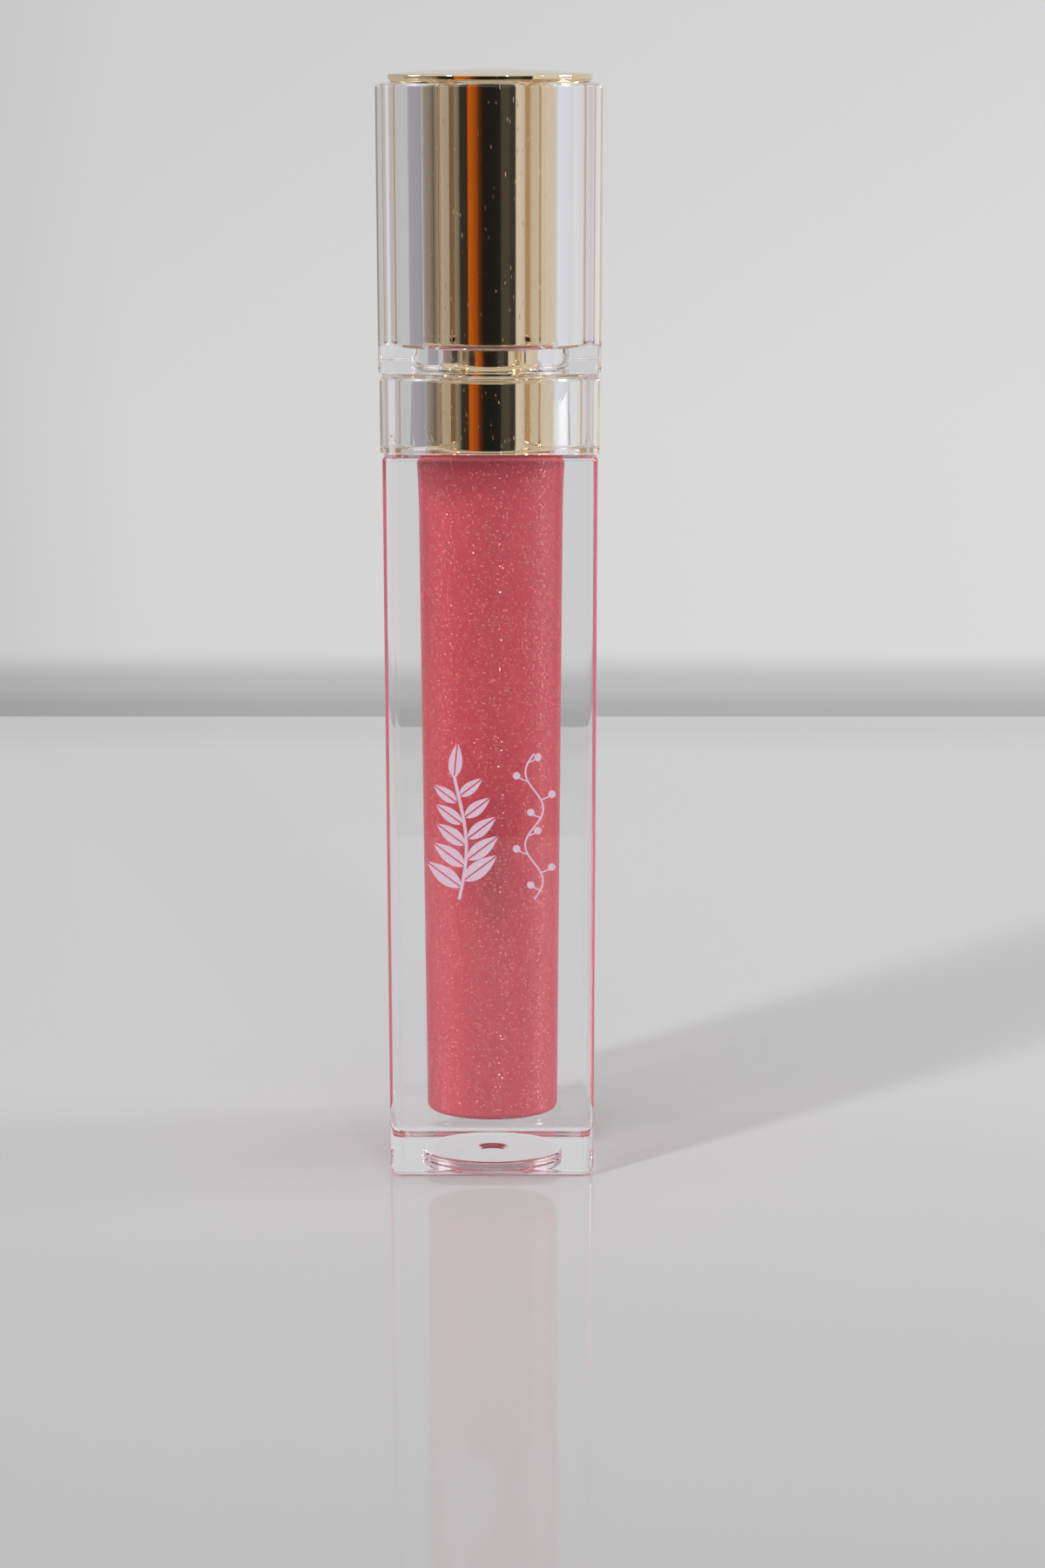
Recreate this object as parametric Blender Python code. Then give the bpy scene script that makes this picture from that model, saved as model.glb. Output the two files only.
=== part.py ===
"""Square lip gloss tube: clear bottle, gilt threaded neck, clear over-shell cap and doe-foot wand.

Metres, +Z up. The origin is the centre of the base, and the tube's axis is the Z axis.
"""
import math

import bmesh
import bpy
from mathutils import Vector

# Driving dimensions
TUBE_HEIGHT = 0.1000
BOTTLE_WIDTH = 0.0189
COLLAR_WIDTH = 0.0192
CAP_WIDTH_TOP = 0.0194
CAP_WIDTH_BOTTOM = 0.0191
BOTTLE_TOP = 0.0670
COLLAR_TOP = 0.07395
CAP_BOTTOM = 0.0743
CAP_TOP = 0.09885
CLEARANCE = 0.0003
CORNER_RADIUS = 0.0010
FOOT_EDGE = 0.0008
SOFT_EDGE = 0.0003

# Cavity of the bottle: a drafted core pulled out through the mouth
CAVITY_FLOOR = 0.0048
CAVITY_FLOOR_RADIUS = 0.00608
CAVITY_WAIST_RADIUS = 0.00642
CAVITY_WAIST_Z = 0.0600
CAVITY_FLARE_Z = 0.0630
CAVITY_FLARE_SHARE = 0.4
MOUTH_RADIUS = 0.00665
FLOOR_FILLET = 0.0006
FOOT_RECESS_RADIUS = 0.0066
FOOT_RECESS_DEPTH = 0.00075

# Bottle mouth and the gilt neck that covers it
MOUTH_WALL_RADIUS = 0.0075
MOUTH_BEAD = 0.00015
MOUTH_BEAD_Z = 0.0702
MOUTH_RIM_Z = 0.0720
NECK_SKIRT_RADIUS = 0.0086
NECK_RING_RADIUS = 0.00635
NECK_ROOT_RADIUS = 0.00575
NECK_BORE_RADIUS = 0.00455
NECK_RING_TOP = 0.0763
NECK_RIM_Z = 0.0845
PLUG_SEAL_LENGTH = 0.0018
OVERLAP = 0.0010

# Screw thread, right-handed
THREAD_PITCH = 0.0027
THREAD_CREST_WIDTH = 0.0006
THREAD_ROOT_WIDTH = 0.0010
THREAD_SINK = 0.0003
THREAD_RUN_OUT_STEPS = 4
THREAD_END_SHARE = 0.35
MALE_CREST_RADIUS = 0.00635
FEMALE_CREST_RADIUS = 0.0060
FEMALE_ROOT_RADIUS = 0.00665
MALE_START_Z = 0.0782
MALE_TURNS = 1.5
FEMALE_START_Z = MALE_START_Z + THREAD_PITCH / 2
FEMALE_TURNS = 1.0

# Cap
CAN_RADIUS = 0.00875
CAN_WALL = 0.00075
CAN_LIP_RADIUS = 0.00905
CAN_LIP_UNDER = 0.09905
CAN_LIP_ROUND = 0.00025
CAN_LOW_Z = 0.07655
SHELL_BORE_RADIUS = 0.0090
SHELL_HOLE_RADIUS = 0.0070
SHELL_FLOOR_Z = 0.0763
INSERT_RADIUS = 0.0077
INSERT_WALL = 0.0010
INSERT_BOTTOM = 0.0769
INSERT_CEILING = 0.0869
INSERT_TOP = 0.0955
INSERT_PLATE = 0.0014
SOCKET_RADIUS = 0.0025

# Wand
STEM_RADIUS = 0.0015
STEM_SHOULDER_RADIUS = 0.0032
STEM_HEAD_RADIUS = SOCKET_RADIUS - CLEARANCE
STEM_BARB = 0.0002
STEM_BARB_LENGTH = 0.0010
STEM_SHOULDER_TOP = INSERT_CEILING - CLEARANCE
STEM_SHOULDER_LOW = STEM_SHOULDER_TOP - 0.0007
STEM_SHOULDER_SLOPE = 0.0008
STEM_HEAD_TOP = INSERT_TOP - 0.0010
STEM_LOW_Z = 0.0300
STEM_SPIGOT_RADIUS = 0.0007
STEM_SPIGOT_LENGTH = 0.0045
TIP_LOW_Z = 0.0115
GLOSS_CHANNEL_RADIUS = 0.0021
GLOSS_CHANNEL_FLOOR = 0.0108
GLOSS_TOP = 0.0690

# Wiper and sealing washer
WIPER_FLANGE_RADIUS = 0.0055
WIPER_WALL = 0.0008
WIPER_ORIFICE_RADIUS = 0.00195
WIPER_FLANGE_UNDER = NECK_RIM_Z + CLEARANCE
WIPER_FLANGE_TOP = WIPER_FLANGE_UNDER + 0.0007
WIPER_CONE_TOP = 0.0755
WIPER_LIP_Z = 0.0718
WASHER_HOLE_RADIUS = 0.0036
WASHER_RADIUS = 0.0056

ROUND_STEPS = 48
SLIM_STEPS = 28
THREAD_STEPS_PER_TURN = 36


def clear_scene():
    """Remove whatever the open file holds."""
    for obj in list(bpy.data.objects):
        bpy.data.objects.remove(obj, do_unlink=True)


def finish(name, colour, roughness, metallic=0.0, alpha=1.0):
    """Return a Principled material for one sub-part."""
    material = bpy.data.materials.new(name)
    material.use_nodes = True
    shader = material.node_tree.nodes["Principled BSDF"]
    shader.inputs["Base Color"].default_value = (*colour, 1.0)
    shader.inputs["Roughness"].default_value = roughness
    shader.inputs["Metallic"].default_value = metallic
    shader.inputs["Alpha"].default_value = alpha
    return material


def make_object(name, bm, material=None, smooth_angle=math.radians(35)):
    """Turn a bmesh into a linked object, smooth but for its sharp edges."""
    bmesh.ops.recalc_face_normals(bm, faces=bm.faces)
    mesh = bpy.data.meshes.new(name)
    bm.to_mesh(mesh)
    bm.free()
    mesh.shade_smooth()
    mesh.set_sharp_from_angle(angle=smooth_angle)
    obj = bpy.data.objects.new(name, mesh)
    bpy.context.scene.collection.objects.link(obj)
    if material:
        mesh.materials.append(material)
    return obj


def turned(name, outline, material=None, steps=ROUND_STEPS, closed=True):
    """Spin an outline of (radius, z) points about Z; an open one starts and ends on the axis."""
    bm = bmesh.new()
    verts = [bm.verts.new((radius, 0.0, z)) for radius, z in outline]
    for first, second in zip(verts, verts[1:]):
        bm.edges.new((first, second))
    if closed:
        bm.edges.new((verts[-1], verts[0]))
    bmesh.ops.spin(
        bm,
        geom=bm.verts[:] + bm.edges[:],
        axis=(0, 0, 1),
        cent=(0, 0, 0),
        angle=math.tau,
        steps=steps,
        use_merge=True,
    )
    bmesh.ops.remove_doubles(bm, verts=bm.verts, dist=1e-7)
    return make_object(name, bm, material)


def quarter_round(centre_radius, centre_z, radius, start_deg, end_deg, steps=4):
    """Points of an arc in an outline, from one angle to the other."""
    points = []
    for step in range(steps + 1):
        angle = math.radians(start_deg + (end_deg - start_deg) * step / steps)
        points.append((centre_radius + radius * math.cos(angle), centre_z + radius * math.sin(angle)))
    return points


def square_block(name, low_z, high_z, low_width, high_width, foot_radius, top_radius, material=None):
    """A square prism with slight draft, rounded uprights and softened ends."""
    bm = bmesh.new()
    bmesh.ops.create_cube(bm, size=1.0)
    for vert in bm.verts:
        width = high_width if vert.co.z > 0 else low_width
        z = high_z if vert.co.z > 0 else low_z
        vert.co = Vector((math.copysign(width / 2, vert.co.x), math.copysign(width / 2, vert.co.y), z))
    uprights = [edge for edge in bm.edges if abs(edge.verts[0].co.z - edge.verts[1].co.z) > SOFT_EDGE]
    bmesh.ops.bevel(bm, geom=uprights, offset=CORNER_RADIUS, segments=5, profile=0.5, affect="EDGES")
    for level, radius in ((low_z, foot_radius), (high_z, top_radius)):
        rim = [edge for edge in bm.edges if all(abs(vert.co.z - level) < 1e-6 for vert in edge.verts)]
        bmesh.ops.bevel(bm, geom=rim, offset=radius, segments=3, profile=0.5, affect="EDGES")
    return make_object(name, bm, material)


def boolean(target, operation, *tools):
    """Cut or join helper solids into a target, and hide the helpers."""
    for tool in tools:
        modifier = target.modifiers.new(tool.name, "BOOLEAN")
        modifier.operation = operation
        modifier.solver = "EXACT"
        modifier.object = tool
        tool.hide_render = True
        tool.display_type = "WIRE"


def thread_ridge(name, base_radius, crest_radius, start_z, turns):
    """A helical ridge of trapezoid section whose ends run out into its wall."""
    bm = bmesh.new()
    count = round(turns * THREAD_STEPS_PER_TURN)
    previous = None
    for step in range(count + 1):
        angle = math.tau * turns * step / count
        centre_z = start_z + THREAD_PITCH * turns * step / count
        run_out = min(1.0, step / THREAD_RUN_OUT_STEPS, (count - step) / THREAD_RUN_OUT_STEPS)
        height_share = THREAD_END_SHARE + (1 - THREAD_END_SHARE) * run_out
        crest = base_radius + (crest_radius - base_radius) * height_share
        section = []
        for radius, half in (
            (base_radius, -THREAD_ROOT_WIDTH / 2),
            (crest, -THREAD_CREST_WIDTH / 2),
            (crest, THREAD_CREST_WIDTH / 2),
            (base_radius, THREAD_ROOT_WIDTH / 2),
        ):
            place = (radius * math.cos(angle), radius * math.sin(angle), centre_z + half)
            section.append(bm.verts.new(place))
        if previous:
            for side in range(4):
                after = (side + 1) % 4
                bm.faces.new((previous[side], previous[after], section[after], section[side]))
        else:
            bm.faces.new(section)
        previous = section
    bm.faces.new(list(reversed(previous)))
    return make_object(name, bm)


def cavity_outline(inset, floor_z, top_z, top_radius):
    """Axis-to-axis outline of the drafted cavity, taken in from the wall by an inset."""
    floor_radius = CAVITY_FLOOR_RADIUS - inset
    flare_radius = CAVITY_WAIST_RADIUS + CAVITY_FLARE_SHARE * (MOUTH_RADIUS - CAVITY_WAIST_RADIUS)
    fillet = quarter_round(floor_radius - FLOOR_FILLET, floor_z + FLOOR_FILLET, FLOOR_FILLET, 0, -90)
    return [
        (0.0, top_z),
        (top_radius, top_z),
        (MOUTH_RADIUS - inset, BOTTLE_TOP),
        (flare_radius - inset, CAVITY_FLARE_Z),
        (CAVITY_WAIST_RADIUS - inset, CAVITY_WAIST_Z),
        *fillet,
        (0.0, floor_z),
    ]


def build_bottle():
    """Thick-walled clear bottle with a round cavity, a short plain mouth and a recessed foot."""
    glassy = finish("bottle_clear", (0.93, 0.93, 0.94), 0.05, alpha=0.3)
    bottle = square_block(
        "bottle", 0.0, BOTTLE_TOP, BOTTLE_WIDTH, BOTTLE_WIDTH, FOOT_EDGE, SOFT_EDGE, glassy
    )
    mouth = turned(
        "bottle_mouth_form",
        [
            (0.0, MOUTH_RIM_Z),
            (MOUTH_WALL_RADIUS - SOFT_EDGE, MOUTH_RIM_Z),
            (MOUTH_WALL_RADIUS, MOUTH_RIM_Z - SOFT_EDGE),
            (MOUTH_WALL_RADIUS, MOUTH_BEAD_Z + SOFT_EDGE),
            (MOUTH_WALL_RADIUS + MOUTH_BEAD, MOUTH_BEAD_Z),
            (MOUTH_WALL_RADIUS, MOUTH_BEAD_Z - SOFT_EDGE),
            (MOUTH_WALL_RADIUS, BOTTLE_TOP - OVERLAP),
            (0.0, BOTTLE_TOP - OVERLAP),
        ],
        closed=False,
    )
    cavity = turned(
        "bottle_cavity_cutter",
        cavity_outline(0.0, CAVITY_FLOOR, MOUTH_RIM_Z + OVERLAP, MOUTH_RADIUS),
        closed=False,
    )
    recess = turned(
        "bottle_foot_cutter",
        [
            (0.0, FOOT_RECESS_DEPTH),
            (FOOT_RECESS_RADIUS, FOOT_RECESS_DEPTH),
            (FOOT_RECESS_RADIUS, -OVERLAP),
            (0.0, -OVERLAP),
        ],
        closed=False,
    )
    boolean(bottle, "UNION", mouth)
    boolean(bottle, "DIFFERENCE", cavity, recess)


def build_gloss_fill():
    """The liquid, with the space that the wand takes up left open down its middle."""
    pearl = finish("gloss_pearl", (0.72, 0.22, 0.25), 0.25)
    outline = cavity_outline(CLEARANCE, CAVITY_FLOOR + CLEARANCE, GLOSS_TOP, MOUTH_RADIUS - CLEARANCE)
    channel = [
        (0.0, GLOSS_CHANNEL_FLOOR),
        (GLOSS_CHANNEL_RADIUS, GLOSS_CHANNEL_FLOOR),
        (GLOSS_CHANNEL_RADIUS, GLOSS_TOP),
    ]
    turned("gloss_fill", channel + outline[1:], pearl, closed=False)


def build_neck_collar():
    """Metallised neck: skirt over the bottle mouth, plug seal, visible ring and male thread."""
    gilt = finish("neck_gilt", (0.80, 0.66, 0.42), 0.12, metallic=1.0)
    skirt_inside = MOUTH_WALL_RADIUS + MOUTH_BEAD + CLEARANCE
    plate_under = MOUTH_RIM_Z + CLEARANCE
    plate_top = COLLAR_TOP - SOFT_EDGE
    neck = turned(
        "neck_collar",
        [
            (NECK_ROOT_RADIUS - SOFT_EDGE, NECK_RIM_Z),
            (NECK_ROOT_RADIUS, NECK_RIM_Z - SOFT_EDGE),
            (NECK_ROOT_RADIUS, NECK_RING_TOP + SOFT_EDGE),
            (NECK_RING_RADIUS - SOFT_EDGE, NECK_RING_TOP),
            (NECK_RING_RADIUS, NECK_RING_TOP - SOFT_EDGE),
            (NECK_RING_RADIUS, plate_top),
            (NECK_SKIRT_RADIUS - SOFT_EDGE, plate_top),
            (NECK_SKIRT_RADIUS, plate_top - SOFT_EDGE),
            (NECK_SKIRT_RADIUS, BOTTLE_TOP + CLEARANCE),
            (skirt_inside, BOTTLE_TOP + CLEARANCE),
            (skirt_inside, plate_under),
            (MOUTH_RADIUS - CLEARANCE, plate_under),
            (MOUTH_RADIUS - CLEARANCE, plate_under - PLUG_SEAL_LENGTH),
            (NECK_BORE_RADIUS, plate_under - PLUG_SEAL_LENGTH),
            (NECK_BORE_RADIUS, NECK_RIM_Z),
        ],
        gilt,
    )
    ridge = thread_ridge(
        "neck_thread_form", NECK_ROOT_RADIUS - THREAD_SINK, MALE_CREST_RADIUS, MALE_START_Z, MALE_TURNS
    )
    boolean(neck, "UNION", ridge)


def build_collar_shell():
    """Clear square ring that squares off the round gilt skirt."""
    glassy = finish("collar_clear", (0.93, 0.93, 0.95), 0.04, alpha=0.3)
    collar = square_block(
        "collar_shell",
        BOTTLE_TOP + CLEARANCE,
        COLLAR_TOP,
        COLLAR_WIDTH,
        COLLAR_WIDTH,
        SOFT_EDGE,
        SOFT_EDGE,
        glassy,
    )
    bore_radius = NECK_SKIRT_RADIUS + CLEARANCE
    bore = turned(
        "collar_bore_cutter",
        [
            (0.0, COLLAR_TOP + OVERLAP),
            (bore_radius, COLLAR_TOP + OVERLAP),
            (bore_radius, BOTTLE_TOP - OVERLAP),
            (0.0, BOTTLE_TOP - OVERLAP),
        ],
        closed=False,
    )
    boolean(collar, "DIFFERENCE", bore)


def build_wiper():
    """Soft flanged sleeve in the neck whose lip scrapes the wand."""
    soft = finish("wiper_soft", (0.90, 0.90, 0.88), 0.45)
    outside = NECK_BORE_RADIUS - CLEARANCE
    inside = outside - WIPER_WALL
    turned(
        "wiper",
        [
            (WIPER_FLANGE_RADIUS, WIPER_FLANGE_TOP),
            (WIPER_FLANGE_RADIUS, WIPER_FLANGE_UNDER),
            (outside, WIPER_FLANGE_UNDER),
            (outside, WIPER_CONE_TOP),
            (WIPER_ORIFICE_RADIUS + WIPER_WALL / 2, WIPER_LIP_Z),
            (WIPER_ORIFICE_RADIUS, WIPER_LIP_Z),
            (WIPER_ORIFICE_RADIUS, WIPER_LIP_Z + WIPER_WALL),
            (inside, WIPER_CONE_TOP + WIPER_WALL / 2),
            (inside, WIPER_FLANGE_TOP),
        ],
        soft,
    )


def build_seal_washer():
    """Flat foam washer between the wiper's flange and the insert's ceiling."""
    foam = finish("washer_foam", (0.88, 0.88, 0.86), 0.8)
    low_z = WIPER_FLANGE_TOP + CLEARANCE
    high_z = INSERT_CEILING - CLEARANCE
    turned(
        "seal_washer",
        [
            (WASHER_RADIUS, high_z),
            (WASHER_RADIUS, low_z),
            (WASHER_HOLE_RADIUS, low_z),
            (WASHER_HOLE_RADIUS, high_z),
        ],
        foam,
    )


def build_cap_shell():
    """Clear square over-shell, open above for the can, with a holed floor that carries it."""
    glassy = finish("cap_clear", (0.93, 0.93, 0.95), 0.04, alpha=0.3)
    shell = square_block(
        "cap_shell", CAP_BOTTOM, CAP_TOP, CAP_WIDTH_BOTTOM, CAP_WIDTH_TOP, SOFT_EDGE, SOFT_EDGE, glassy
    )
    bore = turned(
        "cap_bore_cutter",
        [
            (0.0, CAP_TOP + OVERLAP),
            (SHELL_BORE_RADIUS, CAP_TOP + OVERLAP),
            (SHELL_BORE_RADIUS, SHELL_FLOOR_Z),
            (SHELL_HOLE_RADIUS, SHELL_FLOOR_Z),
            (SHELL_HOLE_RADIUS, CAP_BOTTOM + SOFT_EDGE),
            (SHELL_HOLE_RADIUS + SOFT_EDGE, CAP_BOTTOM),
            (SHELL_HOLE_RADIUS + SOFT_EDGE, CAP_BOTTOM - OVERLAP),
            (0.0, CAP_BOTTOM - OVERLAP),
        ],
        closed=False,
    )
    boolean(shell, "DIFFERENCE", bore)


def build_cap_can():
    """Metallised round inner cap, closed above by a shallow dome that laps the shell's top."""
    gilt = finish("cap_gilt", (0.80, 0.66, 0.42), 0.1, metallic=1.0)
    dome_edge_radius = CAN_LIP_RADIUS - CAN_LIP_ROUND
    dome_edge_z = CAN_LIP_UNDER + 2 * CAN_LIP_ROUND
    crown = TUBE_HEIGHT - dome_edge_z
    sphere_radius = (dome_edge_radius**2 + crown**2) / (2 * crown)
    dome = []
    dome_steps = 8
    for step in range(dome_steps + 1):
        radius = dome_edge_radius * step / dome_steps
        dome.append((radius, TUBE_HEIGHT - sphere_radius + math.sqrt(sphere_radius**2 - radius**2)))
    edge = quarter_round(dome_edge_radius, CAN_LIP_UNDER + CAN_LIP_ROUND, CAN_LIP_ROUND, 60, -90)
    inside = CAN_RADIUS - CAN_WALL
    turned(
        "cap_can",
        dome
        + edge
        + [
            (CAN_RADIUS, CAN_LIP_UNDER),
            (CAN_RADIUS, CAN_LOW_Z + SOFT_EDGE),
            (CAN_RADIUS - SOFT_EDGE, CAN_LOW_Z),
            (inside, CAN_LOW_Z),
            (inside, CAN_LIP_UNDER - CAN_WALL),
            (0.0, CAN_LIP_UNDER - CAN_WALL),
        ],
        gilt,
        closed=False,
    )


def build_thread_insert():
    """Moulded insert: female thread below, sealing ceiling, and the wand's socket above."""
    moulded = finish("insert_white", (0.86, 0.85, 0.82), 0.4)
    plate_top = INSERT_CEILING + INSERT_PLATE
    tower = SOCKET_RADIUS + INSERT_WALL
    insert = turned(
        "thread_insert",
        [
            (INSERT_RADIUS, INSERT_TOP),
            (INSERT_RADIUS, INSERT_BOTTOM),
            (FEMALE_ROOT_RADIUS, INSERT_BOTTOM),
            (FEMALE_ROOT_RADIUS, INSERT_CEILING),
            (SOCKET_RADIUS, INSERT_CEILING),
            (SOCKET_RADIUS, INSERT_TOP),
            (tower, INSERT_TOP),
            (tower, plate_top),
            (INSERT_RADIUS - INSERT_WALL, plate_top),
            (INSERT_RADIUS - INSERT_WALL, INSERT_TOP),
        ],
        moulded,
    )
    ridge = thread_ridge(
        "insert_thread_form",
        FEMALE_ROOT_RADIUS + THREAD_SINK,
        FEMALE_CREST_RADIUS,
        FEMALE_START_Z,
        FEMALE_TURNS,
    )
    boolean(insert, "UNION", ridge)


def build_wand_stem():
    """Moulded stem with a barbed head in the socket and a spigot for the tip."""
    white = finish("stem_white", (0.86, 0.85, 0.83), 0.35)
    turned(
        "wand_stem",
        [
            (0.0, STEM_HEAD_TOP),
            (STEM_HEAD_RADIUS - SOFT_EDGE, STEM_HEAD_TOP),
            (STEM_HEAD_RADIUS, STEM_HEAD_TOP - STEM_BARB_LENGTH),
            (STEM_HEAD_RADIUS - STEM_BARB, STEM_HEAD_TOP - STEM_BARB_LENGTH - STEM_BARB),
            (STEM_HEAD_RADIUS - STEM_BARB, STEM_SHOULDER_TOP),
            (STEM_SHOULDER_RADIUS, STEM_SHOULDER_TOP),
            (STEM_SHOULDER_RADIUS, STEM_SHOULDER_LOW),
            (STEM_RADIUS, STEM_SHOULDER_LOW - STEM_SHOULDER_SLOPE),
            (STEM_RADIUS, STEM_LOW_Z),
            (STEM_SPIGOT_RADIUS, STEM_LOW_Z),
            (STEM_SPIGOT_RADIUS, STEM_LOW_Z - STEM_SPIGOT_LENGTH),
            (0.0, STEM_LOW_Z - STEM_SPIGOT_LENGTH),
        ],
        white,
        steps=SLIM_STEPS,
        closed=False,
    )


def tip_sections():
    """Height, half width, half thickness and sideways shift of the doe-foot's rings, top to bottom."""
    top = STEM_LOW_Z - CLEARANCE
    length = top - TIP_LOW_Z
    rings = []
    for share, half_width, half_depth, shift in (
        (0.00, 1.00, 1.00, 0.00),
        (0.04, 1.07, 1.07, 0.00),
        (0.35, 1.10, 1.07, 0.00),
        (0.50, 1.13, 0.95, 0.10),
        (0.65, 1.15, 0.78, 0.22),
        (0.80, 1.08, 0.60, 0.36),
        (0.92, 0.82, 0.42, 0.50),
        (0.98, 0.45, 0.22, 0.60),
        (1.00, 0.15, 0.08, 0.64),
    ):
        z = top - share * length
        rings.append((z, half_width * STEM_RADIUS, half_depth * STEM_RADIUS, shift * STEM_RADIUS))
    return rings


def build_applicator_tip():
    """Flocked doe-foot tip, round at the stem and bevelled to a slanted pad."""
    flock = finish("tip_flock", (0.85, 0.50, 0.50), 0.9)
    bm = bmesh.new()
    previous = None
    for z, half_width, half_depth, shift in tip_sections():
        ring = []
        for step in range(SLIM_STEPS):
            angle = math.tau * step / SLIM_STEPS
            ring.append(bm.verts.new((half_width * math.cos(angle), shift + half_depth * math.sin(angle), z)))
        if previous:
            for step in range(SLIM_STEPS):
                after = (step + 1) % SLIM_STEPS
                bm.faces.new((previous[step], previous[after], ring[after], ring[step]))
        else:
            bm.faces.new(ring)
        previous = ring
    bm.faces.new(list(reversed(previous)))
    tip = make_object("applicator_tip", bm, flock)
    socket_radius = STEM_SPIGOT_RADIUS + CLEARANCE
    socket = turned(
        "tip_socket_cutter",
        [
            (0.0, STEM_LOW_Z + OVERLAP),
            (socket_radius, STEM_LOW_Z + OVERLAP),
            (socket_radius, STEM_LOW_Z - STEM_SPIGOT_LENGTH - CLEARANCE),
            (0.0, STEM_LOW_Z - STEM_SPIGOT_LENGTH - CLEARANCE),
        ],
        steps=SLIM_STEPS,
        closed=False,
    )
    boolean(tip, "DIFFERENCE", socket)


clear_scene()
build_bottle()
build_gloss_fill()
build_neck_collar()
build_collar_shell()
build_wiper()
build_seal_washer()
build_cap_shell()
build_cap_can()
build_thread_insert()
build_wand_stem()
build_applicator_tip()
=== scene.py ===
import math

import bpy
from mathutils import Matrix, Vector


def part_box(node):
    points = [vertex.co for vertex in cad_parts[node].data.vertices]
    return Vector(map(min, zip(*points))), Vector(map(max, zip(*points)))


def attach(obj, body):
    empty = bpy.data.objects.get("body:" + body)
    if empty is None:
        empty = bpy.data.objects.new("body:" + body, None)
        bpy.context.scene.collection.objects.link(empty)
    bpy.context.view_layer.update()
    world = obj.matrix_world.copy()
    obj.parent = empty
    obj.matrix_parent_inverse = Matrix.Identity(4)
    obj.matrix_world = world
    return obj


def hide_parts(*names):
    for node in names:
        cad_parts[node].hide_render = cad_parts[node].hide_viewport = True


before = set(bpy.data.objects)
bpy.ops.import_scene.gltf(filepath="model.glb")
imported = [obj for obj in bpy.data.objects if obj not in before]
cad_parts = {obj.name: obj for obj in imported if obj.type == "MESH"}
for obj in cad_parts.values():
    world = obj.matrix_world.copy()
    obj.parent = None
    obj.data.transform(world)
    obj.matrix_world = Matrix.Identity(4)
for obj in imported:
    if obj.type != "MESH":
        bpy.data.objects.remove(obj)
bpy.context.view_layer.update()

MM = 0.001


# ---------------------------------------------------------------------------------------------
# Studio. The tube stands on a glossy white board in front of a pale wall, between small lamps
# left and right and a large soft one on either side. The room is white to the right and dark in
# front, which is what the gilt parts mirror. The wall glows with painted light and a painted
# shadow at its foot, and the board's colour carries painted shade, darker towards its front.
# ---------------------------------------------------------------------------------------------
def deselect():
    """Leave nothing selected before a new primitive is added."""
    if bpy.context.object and bpy.context.object.mode != "OBJECT":
        bpy.ops.object.mode_set(mode="OBJECT")
    bpy.ops.object.select_all(action="DESELECT")


def pick(piece):
    """Select one piece alone and make it the active one."""
    deselect()
    piece.select_set(True)
    bpy.context.view_layer.objects.active = piece


def place_in_mesh(piece):
    """Put a piece's location, rotation and scale into its mesh, so that its object is at the origin."""
    pick(piece)
    bpy.ops.object.transform_apply(location=True, rotation=True, scale=True)


def new_material(name):
    """A material with its Principled shader and node tree."""
    material = bpy.data.materials.new(name)
    material.use_nodes = True
    tree = material.node_tree
    return material, tree, tree.nodes["Principled BSDF"]


def new_node(tree, kind, values=None, **settings):
    """A shader node of a kind, with its settings and the values of its unlinked inputs."""
    node = tree.nodes.new("ShaderNode" + kind)
    for setting, value in settings.items():
        setattr(node, setting, value)
    for socket, value in (values or {}).items():
        node.inputs[socket].default_value = value
    return node


def map_range(tree, from_range=(0.0, 1.0), to_range=(0.0, 1.0), smooth=False):
    """A node that maps one range of values onto another and stays inside it."""
    low, high = from_range
    low_result, high_result = to_range
    return new_node(
        tree,
        "MapRange",
        {"From Min": low, "From Max": high, "To Min": low_result, "To Max": high_result},
        interpolation_type="SMOOTHSTEP" if smooth else "LINEAR",
    )


def wire(tree, *links):
    """Join nodes; each link is a node, its output, the next node and its input."""
    for source, output, target, socket in links:
        tree.links.new(source.outputs[output], target.inputs[socket])


def ramp_node(tree, stops):
    """A colour ramp with the given (position, colour) stops."""
    node = new_node(tree, "ValToRGB")
    elements = node.color_ramp.elements
    while len(elements) < len(stops):
        elements.new(0.5)
    for element, (position, colour) in zip(elements, stops):
        element.position = position
        element.color = (*colour, 1.0)
    return node


def grey(level):
    return (level, level, level)


board_front = -0.13
board_back = 0.182
board_left, board_right = -0.50, 0.60
board_thickness = 0.012
board_drop = 0.04 * MM
deselect()
bpy.ops.mesh.primitive_cube_add(
    size=1.0,
    location=(
        (board_left + board_right) / 2,
        (board_front + board_back) / 2,
        -board_drop - board_thickness / 2,
    ),
    scale=(board_right - board_left, board_back - board_front, board_thickness),
)
board = bpy.context.active_object
board.name = "white_board"
place_in_mesh(board)
bpy.ops.object.modifier_add(type="BEVEL")
board.modifiers["Bevel"].width = 1.0 * MM
board.modifiers["Bevel"].segments = 3
bpy.ops.object.modifier_apply(modifier="Bevel")
board_material, tree, shader = new_material("glossy_white_laminate")
shader.inputs["Roughness"].default_value = 0.06
shader.inputs["IOR"].default_value = 1.5
coordinates = new_node(tree, "TexCoord")
cloud = new_node(tree, "TexNoise", {"Scale": 9.0, "Detail": 4.0})
tone = ramp_node(tree, [(0.3, grey(0.98)), (0.7, grey(1.0))])
axes = new_node(tree, "SeparateXYZ")
# Painted shade: the board's colour is made darker towards its front and along its far edge, for how the
# lamps' light falls across it; the noise cloud is the laminate's own faint tone.
depth = map_range(tree, (-0.12, 0.182))
painted_falloff_tone = ramp_node(
    tree,
    [(0.0, grey(0.355)), (0.3, grey(0.44)), (0.4, grey(0.49)), (0.92, grey(0.505)), (0.97, grey(0.46))],
)
laminate_with_painted_shade = new_node(tree, "Mix", {"Factor": 1.0}, data_type="RGBA", blend_type="MULTIPLY")
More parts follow.
